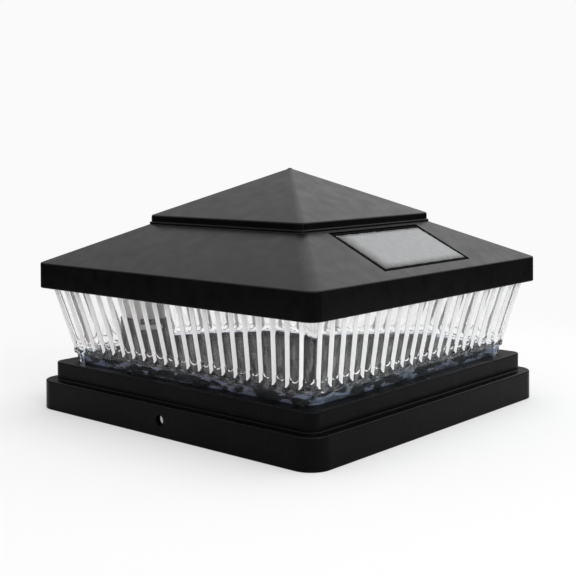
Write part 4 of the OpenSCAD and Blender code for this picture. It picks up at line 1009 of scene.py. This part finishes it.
cap_black = plastic("cap_abs", (0.006, 0.006, 0.006), (0.01, 0.01, 0.01), 8, 0.5, 0.1, 0.3, 0.02,
                    Specular_IOR_Level=0.3)
ring_sizes = {"rib": rib, "count": GRIP_COUNT, "radius": CAP_OUTER * MM}
tree, size = grower("grip_ring", cap_black, **ring_sizes)
ring = grow(tree, "MeshCircle", Vertices=size["count"], Radius=size["radius"])
shape = grow(tree, "ObjectInfo", "Geometry", Object=size["rib"])
made = grow(tree, "InstanceOnPoints", Points=ring, Instance=shape)
grip_ribs = grown("grips", tree, ring_sizes, cap_black, made,
                  Matrix.Translation(Vector((*TUBE_AT, CAP_FOOT + GRIP_FOOT)) * MM)
                  @ Matrix.Rotation(math.pi / GRIP_COUNT, 4, "Z"))
bpy.data.objects.remove(rib)
cap.data.materials.append(cap_black)
worked(cap, [grip_ribs], "UNION")
reach = CAP_OUTER + 4
slot_low, slot_high = LUG_Z - SLOT_H / 2, LUG_Z + SLOT_H / 2
slot_cuts = []
for half in (0, 2):
    turn = tube_place @ quarters(half)
    sweep = [(0, 0)] + [(reach * math.cos(a), reach * math.sin(a))
                        for a in (-CAP_TURN, -CAP_TURN / 2, SLOT_SLACK)]
    slot_cuts.append(loft("slot", [[turn @ Vector((x, y, z)) for x, y in sweep]
                                   for z in (slot_low, slot_high)]))
    slot_cuts.append(block("leg", (0, -SLOT_H / 2, slot_low - DETENT),
                           (reach, SLOT_H / 2, CAP_RIM + 1),
                           turn @ Matrix.Rotation(-CAP_TURN, 4, "Z")))
worked(cap, slot_cuts)
smoothed(cap)
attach(cap, "cap")
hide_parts("battery_cap")

dressed("contact_disc", nickel)
SPRING_FOOT_R, SPRING_HEAD_R, SPRING_WIRE_R, SPRING_FOOT, SPRING_RISE = 5.2, 3.6, 0.35, 26.05, 4.0
spring = wound("spring_coil", nickel, 4.0, SPRING_FOOT_R, SPRING_HEAD_R, SPRING_RISE,
               SPRING_WIRE_R, tube_place @ Matrix.Translation((0, 0, SPRING_FOOT)), 32, 10)
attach(spring, "cap")
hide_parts("contact_spring")


# ---------- wires ----------
# Four short leads in soft insulation: two from the panel through the roof, and two from the
# battery contacts. All are soldered at both ends and held inside the head.

WIRE_R = 0.65
red_pvc = plastic("red_insulation", (0.42, 0.02, 0.015), (0.55, 0.03, 0.02), 3, 0.45, 0.1, 0.2, 0.01)
black_pvc = plastic("black_insulation", (0.012, 0.012, 0.012), (0.02, 0.02, 0.02), 3, 0.45, 0.1,
                    0.2, 0.01)


def lead(name, finish, start, leave, stop, drop):
    """A round wire between two points, in millimetres, that leaves along one way and drops onto
    the board"""
    sizes = {"start": tuple(Vector(start) * MM), "start handle": tuple((start + leave) * MM),
             "end handle": tuple((stop + Vector((0, 0, drop))) * MM), "end": tuple(stop * MM),
             "radius": WIRE_R * MM, "steps": 24, "sides": 12}
    tree, size = grower(name + "_path", finish, **sizes)
    path = grow(tree, "CurvePrimitiveBezierSegment", Start=size["start"],
                Start_Handle=size["start handle"], End_Handle=size["end handle"],
                End=size["end"], Resolution=size["steps"])
    skin = grow(tree, "CurvePrimitiveCircle", Radius=size["radius"], Resolution=size["sides"])
    made = grow(tree, "CurveToMesh", Curve=path, Profile_Curve=skin, Fill_Caps=True)
    return smoothed(grown(name, tree, sizes, finish, made), 60)


panel_out = on_slope @ Vector((panel_middle, 0, -RECESS_DEPTH)) + Vector((0, 0, -0.3))
down_slope = (on_slope.to_3x3() @ Vector((0, 0, -1))).normalized()
WIRE_SIDE, PANEL_LEAD, TAB_LEAD, WIRE_DROP, PAD_IN, PAD_STEP = 0.95, 12.0, 6.0, 9.4, 3.0, 4.0
tube_x, tube_y = TUBE_AT
runs = [("lead_panel_red", "panel_wire_red", red_pvc, panel_out + Vector((0, WIRE_SIDE, 0)),
         down_slope * PANEL_LEAD, (BOARD_L / 2 - PAD_IN, PAD_STEP)),
        ("lead_panel_black", "panel_wire_black", black_pvc, panel_out - Vector((0, WIRE_SIDE, 0)),
         down_slope * PANEL_LEAD, (BOARD_L / 2 - PAD_IN, -PAD_STEP)),
        ("lead_cell_red", "battery_wire_red", red_pvc,
         Vector((tube_x + 1.5 + WIRE_R + 0.1, tube_y, TUBE_TOP + 1.0)),
         Vector((TAB_LEAD, 0, TAB_LEAD)), (-BOARD_L / 2 + 2 * PAD_IN, -BOARD_W / 2 + PAD_STEP)),
        ("lead_cell_black", "battery_wire_black", black_pvc,
         Vector((tube_x, tube_y + TUBE_OUTER + WIRE_R + 0.1, TRAY_TOP + WIRE_R + 0.1)),
         Vector((-TAB_LEAD / 2, 1.5 * TAB_LEAD, TAB_LEAD)),
         (-BOARD_L / 2 + PAD_IN, -BOARD_W / 2 + 2 * PAD_STEP))]
for name, node, finish, start, leave, (x, y) in runs:
    wire = lead(name, finish, start, leave, Vector((x, y, BOARD_TOP + 0.05)), WIRE_DROP)
    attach(wire, "head")
    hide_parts(node)


# ---------- floor, light and camera ----------
# A plain pale floor that takes the object's shadow, soft light from above and all round, and the
# camera at the photograph's place.

FLOOR_R, FLOOR_SIDES, FADE_FROM, FADE_TO = 0.35, 96, 0.18, 0.33
floor_mesh = bpy.data.meshes.new("floor")
floor_mesh.from_pydata([(FLOOR_R * math.cos(a), FLOOR_R * math.sin(a), 0)
                        for a in [2 * math.pi * k / FLOOR_SIDES for k in range(FLOOR_SIDES)]],
                       [], [tuple(range(FLOOR_SIDES))])
floor = placed("floor", floor_mesh)


def pick(mat, share, first, second):
    """One shader or another, by a share such as the kind of ray"""
    node = wired(mat, "MixShader")
    joined(mat.node_tree, node.inputs, (share, first, second))
    return node.outputs["Shader"]


paper, spot = fresh("pale_floor")
finished(paper, Base_Color=(0.84, 0.84, 0.84, 1), Roughness=0.9, Specular_IOR_Level=0.0)
from_middle = wired(paper, "VectorMath", Vector=spot)
from_middle.operation = "LENGTH"
fade = ranged(paper, from_middle.outputs["Value"], FADE_FROM, FADE_TO, 0.35, smooth=True)
ray = wired(paper, "LightPath").outputs
seen = reckoned(paper, "MAXIMUM", ray["Is Camera Ray"], ray["Is Transmission Ray"])
glow = wired(paper, "Emission", Color=(0.955, 0.955, 0.955, 1), Strength=1.0).outputs["Emission"]
lit = pick(paper, product(paper, seen, fade),
           paper.node_tree.nodes["Principled BSDF"].outputs["BSDF"], glow)
fed(paper.node_tree, paper.node_tree.nodes["Material Output"], {"Surface": lit})
floor.data.materials.append(paper)

world = bpy.data.worlds.new("studio")
world.use_nodes = True
bpy.context.scene.world = world
world.node_tree.nodes.clear()
way = wired(world, "TexCoord").outputs["Generated"]
axes = wired(world, "SeparateXYZ", Vector=way).outputs
ray = wired(world, "LightPath").outputs
level = ranged(world, axes["Z"], 0.1, 0.6, 0.05, 1.55, smooth=True)
side = ranged(world, axes["X"], -0.9, -0.2, 0.68, 1.75)
warmth = ranged(world, reckoned(world, "ADD", axes["X"], axes["Y"]), -1.0, 1.0)
tone = tinted(world, warmth, (0.88, 0.79, 0.81, 1), (1.08, 1.15, 1.15, 1))
plain, white, gloss = (
    wired(world, "Background", Color=colour, Strength=strength).outputs["Background"]
    for colour, strength in ((tone, 0.8), ((1, 1, 1, 1), 0.955),
                             ((1, 1, 1, 1), product(world, level, side))))
lit = pick(world, ray["Is Glossy Ray"], plain, gloss)
lit = pick(world, ray["Is Transmission Ray"], lit, white)
lit = pick(world, ray["Is Camera Ray"], lit, white)
wired(world, "OutputWorld", Surface=lit)

for name, place, size, power in (("lamp_top", (0.1, 0.2, 1.3), 1.2, 7.5),
                                 ("lamp_side", (1.3, -0.35, 0.6), 0.8, 5.0)):
    light = bpy.data.lights.new(name, "AREA")
    light.shape, light.size, light.energy = "DISK", size, power
    lamp = placed(name, light)
    lamp.location = place
    lamp.rotation_euler = (Vector((0, 0, 0.05)) - Vector(place)).to_track_quat("-Z", "Y").to_euler()

VIEW_AZIMUTH, VIEW_ELEVATION, VIEW_ROLL = (math.radians(a) for a in (41.0332, 7.4096, -0.326))
VIEW_DISTANCE, VIEW_TARGET = 0.47988, Vector((0, 0, 0.05166))
back = Vector((math.sin(VIEW_AZIMUTH) * math.cos(VIEW_ELEVATION),
               -math.cos(VIEW_AZIMUTH) * math.cos(VIEW_ELEVATION), math.sin(VIEW_ELEVATION)))
level_right = Vector((math.cos(VIEW_AZIMUTH), math.sin(VIEW_AZIMUTH), 0))
level_up = back.cross(level_right)
right = level_right * math.cos(VIEW_ROLL) + level_up * math.sin(VIEW_ROLL)
up = back.cross(right)
eye = bpy.data.cameras.new("camera")
eye.sensor_width, eye.lens, eye.shift_x = 36.0, 67.132, -0.00467
eye.clip_start, eye.clip_end = 0.01, 20.0
camera = placed("camera", eye)
camera.matrix_world = Matrix.Translation(VIEW_TARGET + back * VIEW_DISTANCE) @ Matrix(
    (right, up, back)).transposed().to_4x4()
bpy.context.scene.camera = camera
bpy.context.scene.view_settings.view_transform = "Standard"
